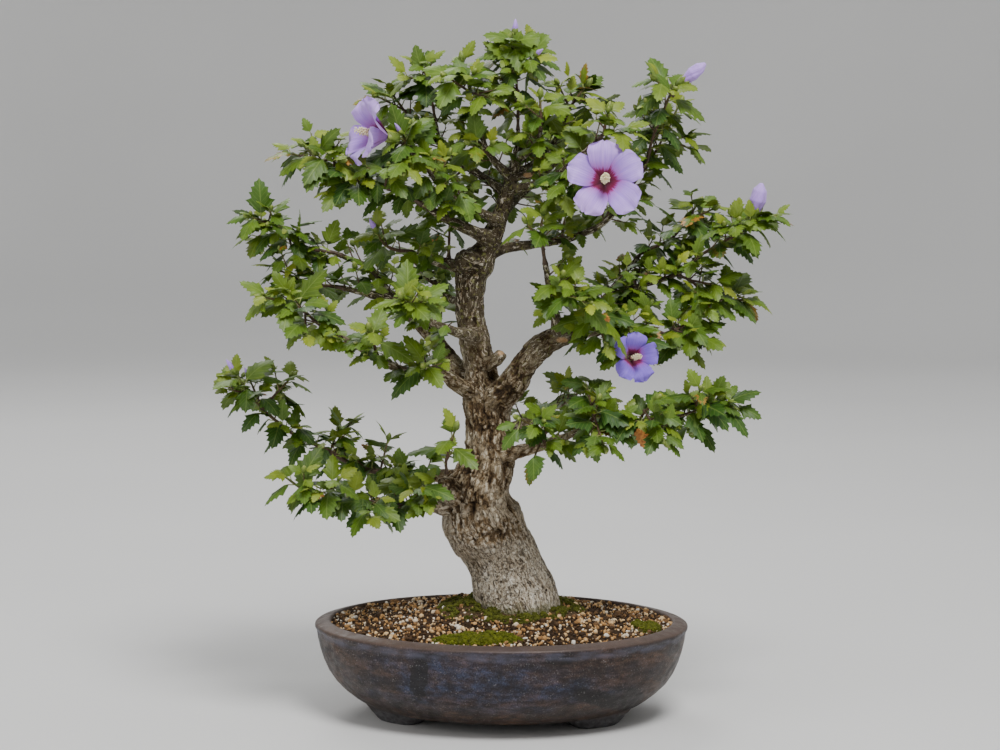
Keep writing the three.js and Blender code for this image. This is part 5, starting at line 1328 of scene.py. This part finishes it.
def add_petal(cluster, centre, axes, bloom, number, draw):
    axis, a, b = axes
    radius, opened = bloom.radius, bloom.open
    out = spoke(a, b, FULL_TURN * number / PETALS + bloom.sways[number])
    side = np.cross(axis, out)
    share, v = np.meshgrid(np.linspace(0, 1, PETAL_ROWS), np.linspace(-1, 1, PETAL_COLUMNS), indexing="ij")
    share, v = share.ravel(), v.ravel()
    spread = radius * (PETAL_SPREAD + OPEN_SPREAD * opened)
    reach = bloom.reach * (0.96 + 0.08 * draw())
    rounding = PETAL_ROUNDING * spread * v * v * smoothstep(0.7, 1, share)
    notch = np.exp(-((v / NOTCH_WIDTH) ** 2)) * smoothstep(0.85, 1, share) * NOTCH_DEPTH * spread * draw()
    along = PETAL_ROOT + (spread * reach - PETAL_ROOT) * share - rounding - notch
    half = np.interp(share, *PETAL_OUTLINE.T) * radius * (0.95 + 0.08 * draw())
    outer = smoothstep(0.35, 1, share)
    phase = 6.3 * draw()
    waved = np.sin(RUFFLES * share + phase + 2.2 * np.sign(v))
    ruffle = RUFFLE_HEIGHT * radius * outer * np.abs(v) ** 1.5 * waved
    frill = FRILL_HEIGHT * radius * outer**2 * np.sin(FRILLS * v + phase)
    half = half * (1 + EDGE_WAVE * outer * np.sin(EDGE_WAVES * share + 2 * phase + v))
    fold = -FOLD_DEPTH * radius * np.exp(-((v / FOLD_WIDTH) ** 2)) * smoothstep(0.1, 0.5, share)
    curl = -TIP_CURL * radius * smoothstep(0.75, 1, share) * draw()
    lift = half * (PETAL_CUP[0] * v + PETAL_CUP[1] * v * v) + ruffle + frill + fold + curl
    rise = petal_rise(share, radius, opened) + lift
    aside = half * v + PETAL_SWAY * radius * (draw() - 0.5) * share**2
    points = centre + along[:, None] * out + aside[:, None] * side + rise[:, None] * axis
    faces, inside = grid_faces(PETAL_ROWS, PETAL_COLUMNS)
    offset = (inside * HALF_PETAL)[:, None] * axis
    warmth = 0.35 + 0.65 * draw()
    # The small bloom takes tone 0, its painted shade.
    tone = 0 if bloom.cool else warmth
    for sign, eye in ((1, 1.0), (-1, 0.25)):
        cluster.add(points + sign * offset, faces[:, ::sign], (share, v, tone, eye))


def ball():
    """A ball of twenty triangles: a point, two rings of five and a point."""
    points = [(0, 0, 1)]
    for height, first in ((0.447, 0), (-0.447, 0.5)):
        turns = FULL_TURN * (np.arange(5) + first) / 5
        points += [(*np.round((0.8944 * math.cos(t), 0.8944 * math.sin(t)), 3), height) for t in turns]
    steps = [(k, k % 5 + 1) for k in range(1, 6)]
    faces = [(0, k, n) for k, n in steps] + [(k, k + 5, n) for k, n in steps]
    faces += [(n, k + 5, n + 5) for k, n in steps] + [(11, n + 5, k + 5) for k, n in steps]
    return np.array([*points, (0, 0, -1)]), np.array(faces)


BALL, BALL_FACES = ball()


def make_bloom(name, bloom):
    centre = seen(bloom.at)
    axes = bloom_axes(bloom.faces, bloom.turn)
    axis, a, b = axes
    size = bloom.radius / FULL_BLOOM_RADIUS
    throat = petal_rise(0, bloom.radius, bloom.open)
    draw = seeded(bloom.radius * BLOOM_SEED)
    petals = Cluster()
    for k in range(PETALS):
        add_petal(petals, centre, axes, bloom, k, draw)
    cup = [(throat - 4 * size, 2.2 * size), (throat - 2 * size, 3.2 * size), (throat + 1.0, 2.6 * size)]
    petals.add(*lathe(centre, axes, cup, 20), (0.02, 0, 0.5, 1))
    petals.piece(f"petals_of_{name}_bloom", [PETAL], "petals", [f"bloom_{name}_petals"])
    column = Cluster()
    foot = throat + COLUMN_FOOT
    shares = np.repeat(np.linspace(0, 1, len(COLUMN_PROFILE)), COLUMN_SIDES)
    shape = lathe(centre, axes, scaled(COLUMN_PROFILE, size, foot), COLUMN_SIDES)
    column.add(*shape, (shares, 0, 0, 0))

    def add_end(start, end, widths, sides, shade, radius, spin):
        """A filament with a ball of pollen, or a stigma, at its end."""
        column.add(*tube([start, end], np.array(widths) * size, sides), (shade, 0, draw(), 0))
        r = radius() * size
        x, y = rotated(*BALL.T[:2] * r, -spin * draw())
        column.add(end + np.c_[x, y, BALL[:, 2] * r], BALL_FACES, (1, 0, draw(), 0))

    for i in range(ANTHERS):
        share = i / ANTHERS
        out = spoke(a, b, i * GOLDEN_TURN + 0.4 * draw())
        reach = (2.0 + 1.3 * draw() - 0.6 * share) * size
        start = centre + axis * (foot + (9 + 18 * share) * size) + out * 0.9 * size
        end = start + out * reach + axis * (1.0 + 1.6 * draw()) * size
        add_end(start, end, (0.32, 0.24), 4, 0.6, lambda: 0.75 + 0.3 * draw(), 6)
    for angle in circle(STIGMAS):
        start = centre + axis * (foot + 29 * size)
        end = start + spoke(a, b, angle) * 2.2 * size + axis * 2.6 * size
        add_end(start, end, (0.4, 0.35), 5, 0.8, lambda: 0.85, 1)
    column.piece(f"column_of_{name}_bloom", [POLLEN], "pollen_column", [f"bloom_{name}_column"])


def make_half_open(name, bud):
    """A furled bud: five lobes wound round each other."""
    shares, angle = np.linspace(0, 1, WOUND_RINGS), circle(WOUND_SIDES)
    widths = bud.radius * np.interp(shares, [0, 0.4, 0.75, 1.0], [0.62, 1.04, 0.86, 0.22])
    lobes = 1 + 0.13 * np.abs(np.sin(2.5 * angle)) ** 0.6 - 0.06
    profile = list(zip(shares * bud.length, widths))
    across = np.tile(np.sin(2.5 * angle), len(shares))
    shape = lathe(seen(bud.at), bloom_axes(bud.faces, bud.turn), profile, len(angle), WOUND_TWIST, lobes)
    petals = Cluster()
    petals.add(*shape, (np.repeat(0.35 + 0.6 * shares, len(angle)), across, 0.6, 0.3))
    petals.piece(f"{name}_wound_petals", [PETAL], "petals", [f"{name}_petals"])


def add_calyx(cluster, centre, axes, top, size):
    """The green cup under a bloom: five teeth that clasp the petals, and a ring of thin bracts below."""
    axis, a, b = axes
    low = top - CALYX_LENGTH * size
    angle = circle(CALYX_SIDES)
    tooth = np.abs(((5 * angle / FULL_TURN) % 1) - 0.5) * 2
    cup = []
    for share, radius in CALYX_PROFILE:
        capped = np.where(share > 1, 1 + (share - 1) * tooth, share)
        cup.append((low + (top - low) * capped, (radius + 0.35 * np.cos(5 * angle)) * size))
    shares = np.repeat(np.linspace(0, 0.8, len(cup)), len(angle))
    cluster.add(*lathe(centre, axes, cup, len(angle)), (shares, 0, 0, 0), GREEN)
    for turn in circle(CALYX_BRACTS) + 0.2:
        out = spoke(a, b, turn) * size
        heights = low + 0.5, low + 2.5 * size, low + 6.5 * size
        route = [centre + axis * height + out * away for height, away in zip(heights, (1.2, 4.6, 6.6))]
        cluster.add(*tube(route, np.array([0.55, 0.5, 0.12]) * size, 4), (0.5, 0, 0, 0), GREEN)


def bloom_stem(main, name):
    """Ends a stem straight behind its flower, as in the solid model, and gives the calyx's place."""
    if name in BLOOMS:
        bloom = BLOOMS[name]
        size = bloom.radius / FULL_BLOOM_RADIUS
        top = petal_rise(0, bloom.radius, bloom.open) - 4 * size - FIT
    else:
        bloom = HALF_OPEN[name]
        size = bloom.radius / HALF_OPEN_RADIUS
        top = -FIT
    axes, centre = bloom_axes(bloom.faces, bloom.turn), seen(bloom.at)
    foot = centre + axes[0] * (top - 0.6 * CALYX_LENGTH * size)
    before = foot - axes[0] * BLOOM_APPROACH
    points = [p for p in main.points if np.linalg.norm(p - foot) > BLOOM_APPROACH + 3] + [before, foot]
    return tapering(points, main.radii[0], 1.1, main.key), (centre, axes, top, size)


# Sprays
CAD_LOW, CAD_HIGH = (np.array([corner[k] for k in range(3)]) / MM - SHIFT for corner in cad_box)


def in_the_way(point, radius=0.0):
    """Whether something extra at this point would cover the trunk or a flower in the front view."""
    across, down = pixels_of(point[None])[0]
    for bloom in BLOOMS.values():
        clear = BLOOM_CLEAR * bloom.radius + radius
        if math.dist((across, down), bloom.at[:2]) < clear and point[1] < seen(bloom.at)[1] + 6:
            return True
    return point[1] < TRUNK_CLEAR_DEPTH and any(
        left < across < right and top < down < bottom for left, right, top, bottom in TRUNK_STRIPS
    )


def fits(site):
    """Whether an extra leaf keeps inside the solid model's box and out of the way."""
    for share in (0.1, 0.55, 1.0):
        point = on_blade(site, share, 0)
        if in_the_way(point) or np.any(point < CAD_LOW - OVERHANG) or np.any(point > CAD_HIGH + OVERHANG):
            return False
    return True


def leaf_numbers(shoot, main, bloom):
    reach = travel(shoot.points)[-1] - (8 if main else 3)
    number, found = 1 if bloom and main else 0, []
    while leaf_distance(number) < reach and (main or number < 6):
        found.append(number)
        number += 1
    return found


def add_chosen_leaves(cluster, name, draw):
    for root, base, tip, tone, turn in CHOSEN_LEAVES.get(name, []):
        root, base, tip = seen(root), seen(base), seen(tip)
        blade = unit(tip - base)
        normal = unit(LEAF_FACING - blade * LEAF_FACING.dot(blade))
        normal = spoke(normal, np.cross(blade, normal), turn)
        site = Site(root, unit(base - root), blade, normal, np.linalg.norm(tip - base), base, 3)
        add_leaf(cluster, site, draw, tone)


def add_shoot(cluster, start, direction, reach, key, draw, growth=1.0):
    """A short side twig with a few small leaves and now and then a bud."""
    bend = start + direction * reach * 0.5 + UP * 0.06 * reach
    end = start + direction * reach + UP * 0.16 * reach
    shoot = Shoot([start, bend, end], SHOOT_RADII, key)
    sites = []
    for leaf in range(3 + int(3 * draw())):
        site = leaf_site(shoot, leaf, 0)
        share = min(leaf_distance(leaf) / reach, 1.15)
        root = end + (bend - end) * min(2 * share, 1.0) + (start - bend) * max(2 * share - 1, 0)
        length = growth * (SHOOT_BLADE + SHOOT_BLADE_GROWTH * leaf) * (0.85 + 0.4 * draw())
        site = site._replace(root=root, base=root + (site.base - site.root) * 0.75, length=length)
        if fits(site):
            sites.append(site)
    if not sites:
        return
    shares = np.repeat((0.3, 0.6, 0.9), SHOOT_SIDES)
    cluster.add(*tube(shoot.points, shoot.radii, SHOOT_SIDES), (shares, 0, 0, 0), WOODY)
    for site in sites:
        add_leaf(cluster, site, draw, small=True)
    if draw() < SHOOT_BUDS:
        add_bud(cluster, end, unit(end - bend), chance(draw, *SHOOT_BUD), draw)


def side_shoots(cluster, route, spacing, key, draw, first=10.0, last=14.0):
    """Short twigs along a stem or branch, one after the other round it."""
    route, travelled = np.array(route), travel(route)
    at, count = first, 0
    while at < travelled[-1] - last:
        place = np.array([np.interp(at, travelled, route[:, k]) for k in range(3)])
        i = min(int(np.searchsorted(travelled, at)), len(route) - 1)
        along = unit(route[i] - route[i - 1])
        spin = FULL_TURN * draw()
        around = np.array([math.cos(spin), math.sin(spin), 0.9 * draw() - 0.15])
        around = unit(around - along * around.dot(along))
        direction = unit(around + along * (0.3 + 0.5 * draw()))
        reach = SHOOT_REACH + SHOOT_REACH_SPREAD * draw()
        if not in_the_way(place + direction * reach, CLEAR_OF_SHOOT):
            add_shoot(cluster, place, direction, reach, key + 7 * count, draw)
        at += spacing * (0.7 + 0.6 * draw())
        count += 1


def make_spray(name, spray, number):
    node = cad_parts[f"spray_{name}"]
    corners = [node.matrix_world @ v.co for v in node.data.vertices]
    probe = BVHTree.FromPolygons(corners, [p.vertices[:] for p in node.data.polygons])
    shoots = plan_spray(spray, number)
    cluster = Cluster()
    draw = seeded(number * SPRAY_SEED)
    if spray.bloom:
        shoots[0], calyx = bloom_stem(shoots[0], spray.bloom)
        add_calyx(cluster, *calyx)
    shoots += [twig_to(tip, shoots[0].points, number * 100 + 50 + k) for k, tip in enumerate(spray.more)]
    for index, shoot in enumerate(shoots):
        main, extra = index == 0, index > len(spray.tips)
        add_stem(cluster, shoot)
        solid = [] if extra else solid_numbers(shoot, not spray.tips, main)
        for leaf in leaf_numbers(shoot, main, spray.bloom):
            site = solid_site(shoot, leaf, probe) if leaf in solid else None
            if site is None:
                site = leaf_site(shoot, leaf, 0)
                if leaf < len(EXTRA_LENGTHS):
                    site = site._replace(length=EXTRA_LENGTHS[leaf] * (0.85 + 0.3 * draw()))
                if not fits(site):
                    continue
            add_leaf(cluster, site, draw, older=spray.older)
        end = shoot.points[-1]
        along = unit(end - shoot.points[-2])
        flowering = main and spray.bloom
        if not flowering and (main or draw() < TWIG_BUDS):
            size = MAIN_BUD_SIZE if main else chance(draw, *TWIG_BUD)
            add_bud(cluster, end, along, size, draw, spray.showing if main or extra else 0)
            for _ in range(int(3 * draw())):
                lean = unit(along + 1.1 * np.array([draw() - 0.5, draw() - 0.5, draw() - 0.3]))
                place = end - along * (1 + 3 * draw()) + lean * 2.5
                add_bud(cluster, place, lean, chance(draw, *SMALL_BUD), draw)
        key = SPRAY_KEYS * number + STEM_KEYS * index
        side_shoots(cluster, shoot.points, SHOOT_SPACING, key, draw)
    add_chosen_leaves(cluster, name, draw)
    cluster.piece(f"leaves_of_{name}", SPRAY_FINISHES, "foliage", [f"spray_{name}"])


def make_inner_shoots():
    """Twigs and small leaves on the branches themselves, which fill the crown's inside."""
    cluster = Cluster()
    for number, (name, (places, radii)) in enumerate(WOOD_LINES.items()):
        thin = np.flatnonzero(radii < INNER_THICKEST)
        if name == "trunk" or len(thin) < 2:
            continue
        route, _ = smooth_route(places[thin[0]:], radii[thin[0]:], WOOD_STEP)
        draw = seeded(number * INNER_SEED + 5)
        side_shoots(cluster, route, INNER_SPACING, INNER_KEYS + 2000 * number, draw, 3.0, 2.0)
    draw = seeded(BRANCH_SEED)
    add_chosen_leaves(cluster, "branches", draw)
    for number, (start, end, growth) in enumerate(BRANCH_SHOOTS):
        start, run = seen(start), seen(end) - seen(start)
        add_shoot(cluster, start, unit(run), np.linalg.norm(run), BRANCH_KEYS + 20 * number, draw, growth)
    cluster.piece("inner_shoots", SPRAY_FINISHES, "foliage")


# Pot
def turned_by_pot(points):
    x, y = rotated(points[:, 0], points[:, 1], POT_TURN)
    return np.c_[x, y, points[:, 2]]


def oval_lathe(section, sides):
    """An oval bowl from [distance from the middle, height] for each ring."""
    return lathe(0 * UP, (UP, RIGHT, AWAY * OVAL), [(z, r) for r, z in section], sides)


def between(start, end, count):
    """Places from the start up to the end, but without it."""
    return list(np.array(start) + np.arange(count)[:, None] / count * np.subtract(end, start))


def fine_section(section, step):
    points = []
    for start, end in zip(section, section[1:]):
        points += between(start, end, max(1, round(math.dist(start, end) / step)))
    return [*points, section[-1]]


def pot_foot(sign_x, sign_y):
    """A low foot that follows the oval's bend and draws in towards the floor, its corners rounded."""
    length, width = FOOT_SIZE
    outline = []
    for start, end in zip(FOOT_CORNERS, FOOT_CORNERS[1:] + FOOT_CORNERS[:1]):
        outline += between(start, end, 10)
    outline = np.array(outline)
    for _ in range(6):
        outline = (np.roll(outline, 1, 0) + 2 * outline + np.roll(outline, -1, 0)) / 4
    bulge = 0.8 * np.cos(FULL_TURN * outline[:, 0]) * smoothstep(0.2, 0.5, outline[:, 1])
    rings = []
    for share in (0, 0.03, 0.1, 0.25, 0.4, 0.55, 0.75, 1):
        drawn_in = 0.05 * (1 - min(share / 0.1, 1)) ** 2
        scale = 1 + FOOT_SPLAY * share - drawn_in + 0.03 * math.sin(math.pi * share)
        x, y = rotated(outline[:, 0] * length * scale, outline[:, 1] * width * scale + bulge, -FOOT_TURN)
        x, y = sign_x * (FOOT_PLACE[0] + x), sign_y * (FOOT_PLACE[1] + y)
        rings.append(np.c_[x, y, np.full(len(x), share * FOOT_TOP)])
    return np.vstack(rings), lofted(len(rings), len(outline))[:, :: sign_x * sign_y]


def plate_with_holes(rim, holes):
    """Points [x, y] and triangles that fill a flat rim and leave its round holes open."""
    edges, start = [], 0
    for loop in (rim, *holes):
        edges += [(start + i, start + (i + 1) % len(loop)) for i in range(len(loop))]
        start += len(loop)
    corners = [Vector(p) for p in np.vstack([rim, *holes])]
    places, _, faces = delaunay_2d_cdt(corners, edges, [], 1, 1e-6)[:3]
    places, faces = np.array([tuple(p) for p in places]), np.array(faces)
    for hole in holes:
        centre = hole.mean(0)
        open_circle = 0.985 * np.linalg.norm(hole[0] - centre)
        faces = faces[np.linalg.norm(places[faces].mean(1) - centre, axis=1) > open_circle]
    return places, faces


def add_pot_floor(pot, under_rim, upper_rim):
    """The flat floor between two rings of the bowl, with two drain holes through it."""
    drain = np.c_[np.cos(circle(DRAIN_SIDES)), np.sin(circle(DRAIN_SIDES))] * DRAIN_RADIUS
    holes = [drain - (DRAIN_OFFSET, 0), drain + (DRAIN_OFFSET, 0)]

    def level(places, rim):
        return np.c_[places, np.full(len(places), rim[0][2])]

    for rim, facing in ((under_rim, -1), (upper_rim, 1)):
        places, faces = plate_with_holes(rim[:, :2], holes)
        look = (rim[0][2] / POT_HEIGHT, 0, 0, 1)
        pot.add(turned_by_pot(level(places, rim)), faces[:, ::facing], look)
    for hole in holes:
        rings = np.vstack([level(hole, under_rim), level(hole, upper_rim)])
        pot.add(turned_by_pot(rings), lofted(2, DRAIN_SIDES)[: 2 * DRAIN_SIDES, ::-1], look)


def make_pot():
    pot = Cluster()
    bowl, faces = oval_lathe(fine_section(POT_SECTION, POT_STEP), POT_SPOKES)
    outward = bowl * (1, 1, 0)
    outward /= np.linalg.norm(outward, axis=1)[:, None]
    inner_wall = WALL_INSIDE - (POT_HEIGHT - bowl[:, 2]) * 0.12
    inside = (bowl[:, 2] > POT_SECTION[-1][1] - 0.1) & (np.hypot(bowl[:, 0], bowl[:, 1] / OVAL) < inner_wall)
    wave = noise_at(bowl * (1, 1, 0.5), 45.0) * 0.6
    bowl = bowl + outward * (wave * (1 - inside))[:, None]
    front, back = smoothstep(0, -40, bowl[:, 1]), smoothstep(0, 40, bowl[:, 1])
    blue = np.exp(-(((bowl[:, 0] - BLUE_MIDDLE) / BLUE_REACH) ** 2)) * front
    blue += np.exp(-(((bowl[:, 0] - BACK_BLUE_MIDDLE) / BACK_BLUE_REACH) ** 2)) * back
    pixels = pixels_of(turned_by_pot(bowl))
    stain = sum(patch(pixels, *spot) for spot in STAINS) * front
    add_pot_floor(pot, bowl[:POT_SPOKES], bowl[-POT_SPOKES:])
    pot.add(turned_by_pot(bowl), faces[: -2 * (POT_SPOKES - 2)], (bowl[:, 2] / POT_HEIGHT, blue, stain, 0))
    for sign_x, sign_y in ((-1, -1), (-1, 1), (1, -1), (1, 1)):
        points, faces = pot_foot(sign_x, sign_y)
        clay = 1 - smoothstep(9, 17, points[:, 2] + 3 * noise_at(points, 7.0))
        pot.add(turned_by_pot(points), faces, (points[:, 2] / POT_HEIGHT, 0, 0, clay))
    pot.piece("glazed_pot", [glaze_finish()], "pot_glaze", ["pot"])


# Soil, gravel and moss
def soil_height(x, y):
    u, v = rotated(x, y, -POT_TURN)
    edge = np.minimum(1, np.hypot(u, v / OVAL) / SOIL_HALF_WIDTH)
    near = np.hypot(x - MOUND_CENTRE[0], y - MOUND_CENTRE[1]) / MOUND_SPREAD
    crown = np.exp(-near * near)
    return SOIL_EDGE + (1 - edge**3) * (SOIL_SWELL + (MOUND_TOP - SOIL_EDGE - SOIL_SWELL) * crown)


def make_soil():
    soil = Cluster()
    top = [(SOIL_OUTER * share, 0) for share in np.linspace(0.02, 1, SOIL_RINGS)]
    points, faces = oval_lathe([*top, *SOIL_WALL], SOIL_SPOKES)
    points = turned_by_pot(points)
    surface = points[: SOIL_RINGS * SOIL_SPOKES]
    rough = 1.1 * noise_at(surface, 7.0) + 0.8 * noise_at(surface, 3.0) - 0.4
    surface[:, 2] = soil_height(surface[:, 0], surface[:, 1]) + rough
    surface[-SOIL_SPOKES:, 2] = SOIL_EDGE - 1
    soil.add(points, faces[:, ::-1])
    soil.piece("soil_bed", [soil_finish()], "soil", ["soil"])


def from_trunk(x, y):
    """How far out from the trunk's middle a place lies; 1 is the trunk's edge."""
    return np.hypot((x - BASE_CENTRE[0]) / BASE_RADII[0], (y - BASE_CENTRE[1]) / BASE_RADII[1])


def scattered(count, draw):
    """Points spread evenly over the soil."""
    spots = []
    while len(spots) < count:
        angle, share = FULL_TURN * draw(), math.sqrt(draw())
        x, y = SOIL_OUTER * share * math.cos(angle), SOIL_OUTER * OVAL * share * math.sin(angle)
        if from_trunk(x, y) > 0.98:
            spots.append((x, y, 0))
    spots = turned_by_pot(np.array(spots))
    spots[:, 2] = soil_height(spots[:, 0], spots[:, 1])
    return spots


def rounder(points, faces):
    """Splits each triangle of a ball in four."""
    points, middle, split = list(map(tuple, points)), {}, []

    def halfway(i, j):
        key = (min(i, j), max(i, j))
        if key not in middle:
            middle[key] = len(points)
            points.append(tuple(unit(np.array(points[i]) + np.array(points[j]))))
        return middle[key]

    for i, j, k in faces:
        a, b, c = halfway(i, j), halfway(j, k), halfway(k, i)
        split += [(i, a, c), (a, j, b), (c, b, k), (a, b, c)]
    return np.array(points), np.array(split)


def lump(shape, stretch, jitter, draw):
    """A grain: a stretched ball whose points are pushed in or out, turned any way."""
    pushed = np.array([chance(draw, *jitter) for _ in range(len(shape))])
    turn = Quaternion([draw() - 0.5 for _ in range(4)]).normalized().to_matrix()
    return (shape * pushed[:, None] * stretch) @ np.array(turn).T


# Pebbles and grit: shape, how many, smallest and largest half size, and the share of dark ones.
STONES = [(rounder(BALL, BALL_FACES), 1100, 1.2, 2.7, 0.36), ((BALL, BALL_FACES), 4300, 0.7, 1.6, 0.58)]


def stone_kind(draw, dark):
    """Dark, tan and orange grains, with a third of cream ones and a few white."""
    pick = draw()
    for limit, low, spread in ((dark, 0, 0.3), (0.7, 0.3, 0.3), (0.89, 0.6, 0.22), (1, 0.85, 0.15)):
        if pick < limit:
            return chance(draw, low, spread)


def make_gravel():
    gravel = Cluster()
    draw = seeded(GRAVEL_SEED)
    for (shape, faces), count, low, high, dark in STONES:
        for spot in scattered(count, draw):
            size = low + (high - low) * draw() ** SMALLER_STONES
            stretch = np.array([chance(draw, *STONE_STRETCH) for _ in range(3)])
            stone = lump(shape, stretch * size, STONE_JITTER, draw)
            look = (stone_kind(draw, dark), 0, draw(), 0)
            gravel.add(spot + stone + UP * size * chance(draw, *STONE_SINK), faces, look)
    gravel.piece("gravel_on_soil", [GRAVEL], "soil")


def moss_reach(moss, angle):
    """How far a cushion's wavy edge lies out at an angle, as a share of its radii."""
    draw = seeded(moss.seed)
    edge = np.array([chance(draw, *MOSS_EDGE) for _ in range(moss.sides)])
    place = (angle / FULL_TURN) % 1 * len(edge)
    low = np.floor(place).astype(int) % len(edge)
    part = place - np.floor(place)
    return edge[low] * (1 - part) + edge[(low + 1) % len(edge)] * part


def moss_place(moss, angle, share):
    """Points on a cushion's top at shares of the way to its edge, and how well they are covered."""
    reach = moss_reach(moss, angle) * share
    x = moss.centre[0] + moss.radii[0] * reach * np.cos(angle)
    y = moss.centre[1] + moss.radii[1] * reach * np.sin(angle)
    spots = np.c_[x, y, 0 * x]
    growth = smoothstep(-0.22, 0.12, noise_at(spots, 15.0) + 0.5 * noise_at(spots + 9, 6.0))
    cover = 1 - moss.patchy * (1 - growth)
    lift = np.interp(share, [0, 0.6, 0.85, 0.97, 1.04], [1.0, 1.0, 0.75, 0.2, -0.5]) * moss.rise
    ripple = 1.2 * noise_at(spots, 9.0) + 0.7 * noise_at(spots, 3.5)
    spots[:, 2] = soil_height(x, y) + np.where(lift > 0, lift * (0.15 + 0.85 * cover), lift) + ripple * cover
    return spots, cover


def make_moss(name, moss):
    cushion = Cluster()
    draw = seeded(moss.seed * MOSS_SEED)
    angle, shares = circle(CUSHION_SPOKES), np.linspace(0.03, 1.04, CUSHION_RINGS)
    rings = [moss_place(moss, angle, np.full(CUSHION_SPOKES, share)) for share in shares]
    rings.append((rings[-1][0] - UP * 3, rings[-1][1]))
    rows, covers = zip(*rings)
    look = (moss.bright * 0.5, 0, 1 - np.concatenate(covers), 0)
    cushion.add(np.vstack(rows), lofted(len(rows), CUSHION_SPOKES)[:, ::-1], look)
    angle = np.array([FULL_TURN * draw() for _ in range(moss.tufts)])
    share = np.array([1.03 * math.sqrt(draw()) for _ in range(moss.tufts)])
    spots, cover = moss_place(moss, angle, share)
    for spot, growth, away in zip(spots, cover, from_trunk(spots[:, 0], spots[:, 1])):
        if away < CLEAR_OF_TRUNK or growth < 0.25 + 0.4 * draw():
            continue
        size = chance(draw, *TUFT_SIZE)
        tuft = lump(BALL, TUFT_SHAPE * size, TUFT_JITTER, draw)
        look = (min(1, moss.bright * (0.5 + draw())), draw() ** 2, 0, 0)
        cushion.add(spot + tuft + UP * TUFT_LIFT, BALL_FACES, look)
    cushion.piece(f"{name}_cushion", [MOSS_GREEN], "moss", [name], smooth=False)


# Everything in its place
make_wood()
for number, (name, spray) in enumerate(SPRAYS.items(), 1):
    make_spray(name, spray, number)
make_inner_shoots()
for name, bloom in BLOOMS.items():
    make_bloom(name, bloom)
for name, bud in HALF_OPEN.items():
    make_half_open(name, bud)
make_pot()
make_soil()
make_gravel()
for name, moss in MOSS.items():
    make_moss(name, moss)


# Camera, floor and light
FLOOR_REACH, FLOOR_BEND, FLOOR_SPOKES = 3600, 1500, 96
LIGHT_TARGET = Vector((0, 0, 0.3))


def add_camera():
    camera = in_scene(bpy.data.objects.new("camera", bpy.data.cameras.new("camera")))
    camera.data.sensor_width = SENSOR_WIDTH
    camera.data.lens = VIEW_FOCAL * SENSOR_WIDTH / PICTURE_WIDTH
    camera.data.clip_end = 100
    aside = RIGHT * (PICTURE_WIDTH / 2 - VIEW_CENTRE[0]) * VIEW_DISTANCE / VIEW_FOCAL
    camera.location = (EYE + SHIFT + aside) * MM
    camera.rotation_euler = (math.radians(90) - VIEW_TILT, 0, 0)
    bpy.context.scene.camera = camera


def add_floor():
    """A pale floor that curves up far away on every side, so that no edge shows from any view."""
    turns = np.linspace(0.1, 1.5, 15)
    bend = [(FLOOR_BEND * (1 - math.cos(a)), FLOOR_REACH + FLOOR_BEND * math.sin(a)) for a in turns]
    profile = [(0, 50), (0, FLOOR_REACH), *bend, (4200, 5110)]
    points, faces = lathe(0 * UP, (UP, RIGHT, AWAY), profile, FLOOR_SPOKES)
    mesh = new_mesh("floor", points, faces[: 2 - FLOOR_SPOKES][:, ::-1])
    floor = in_scene(bpy.data.objects.new("floor", mesh))
    f = Finish("pale_floor", 0.9)
    tint = f.clouds(f.place(), 900.0, 2.0, (0.3, (226, 225, 223)), (0.7, (232, 231, 229)))
    f.put(f.shader, {"Base Color": tint})
    floor.data.materials.append(f.material)
    floor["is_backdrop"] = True


def add_light(name, place, size, power):
    lamp = bpy.data.lights.new(name, "AREA")
    lamp.shape = "DISK"
    lamp.size = size
    lamp.energy = power
    light = in_scene(bpy.data.objects.new(name, lamp))
    light.location = place
    light.rotation_euler = (LIGHT_TARGET - Vector(place)).to_track_quat("-Z", "Y").to_euler()


add_camera()
add_floor()
add_light("key", (0.5, -1.6, 2.9), 1.2, 86)
add_light("fill", (-2.2, -1.6, 1.3), 1.8, 13)
add_light("back", (-0.7, 2.1, 2.3), 1.5, 26)
world = bpy.data.worlds.new("pale")
world.use_nodes = True
world.node_tree.nodes["Background"].inputs["Color"].default_value = (0.93, 0.96, 1.0, 1.0)
world.node_tree.nodes["Background"].inputs["Strength"].default_value = 0.45
bpy.context.scene.world = world


def corners(box):
    return [[float(c) for c in corner] for corner in box]


{"cad": corners(cad_box), "visual": corners(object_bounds())}
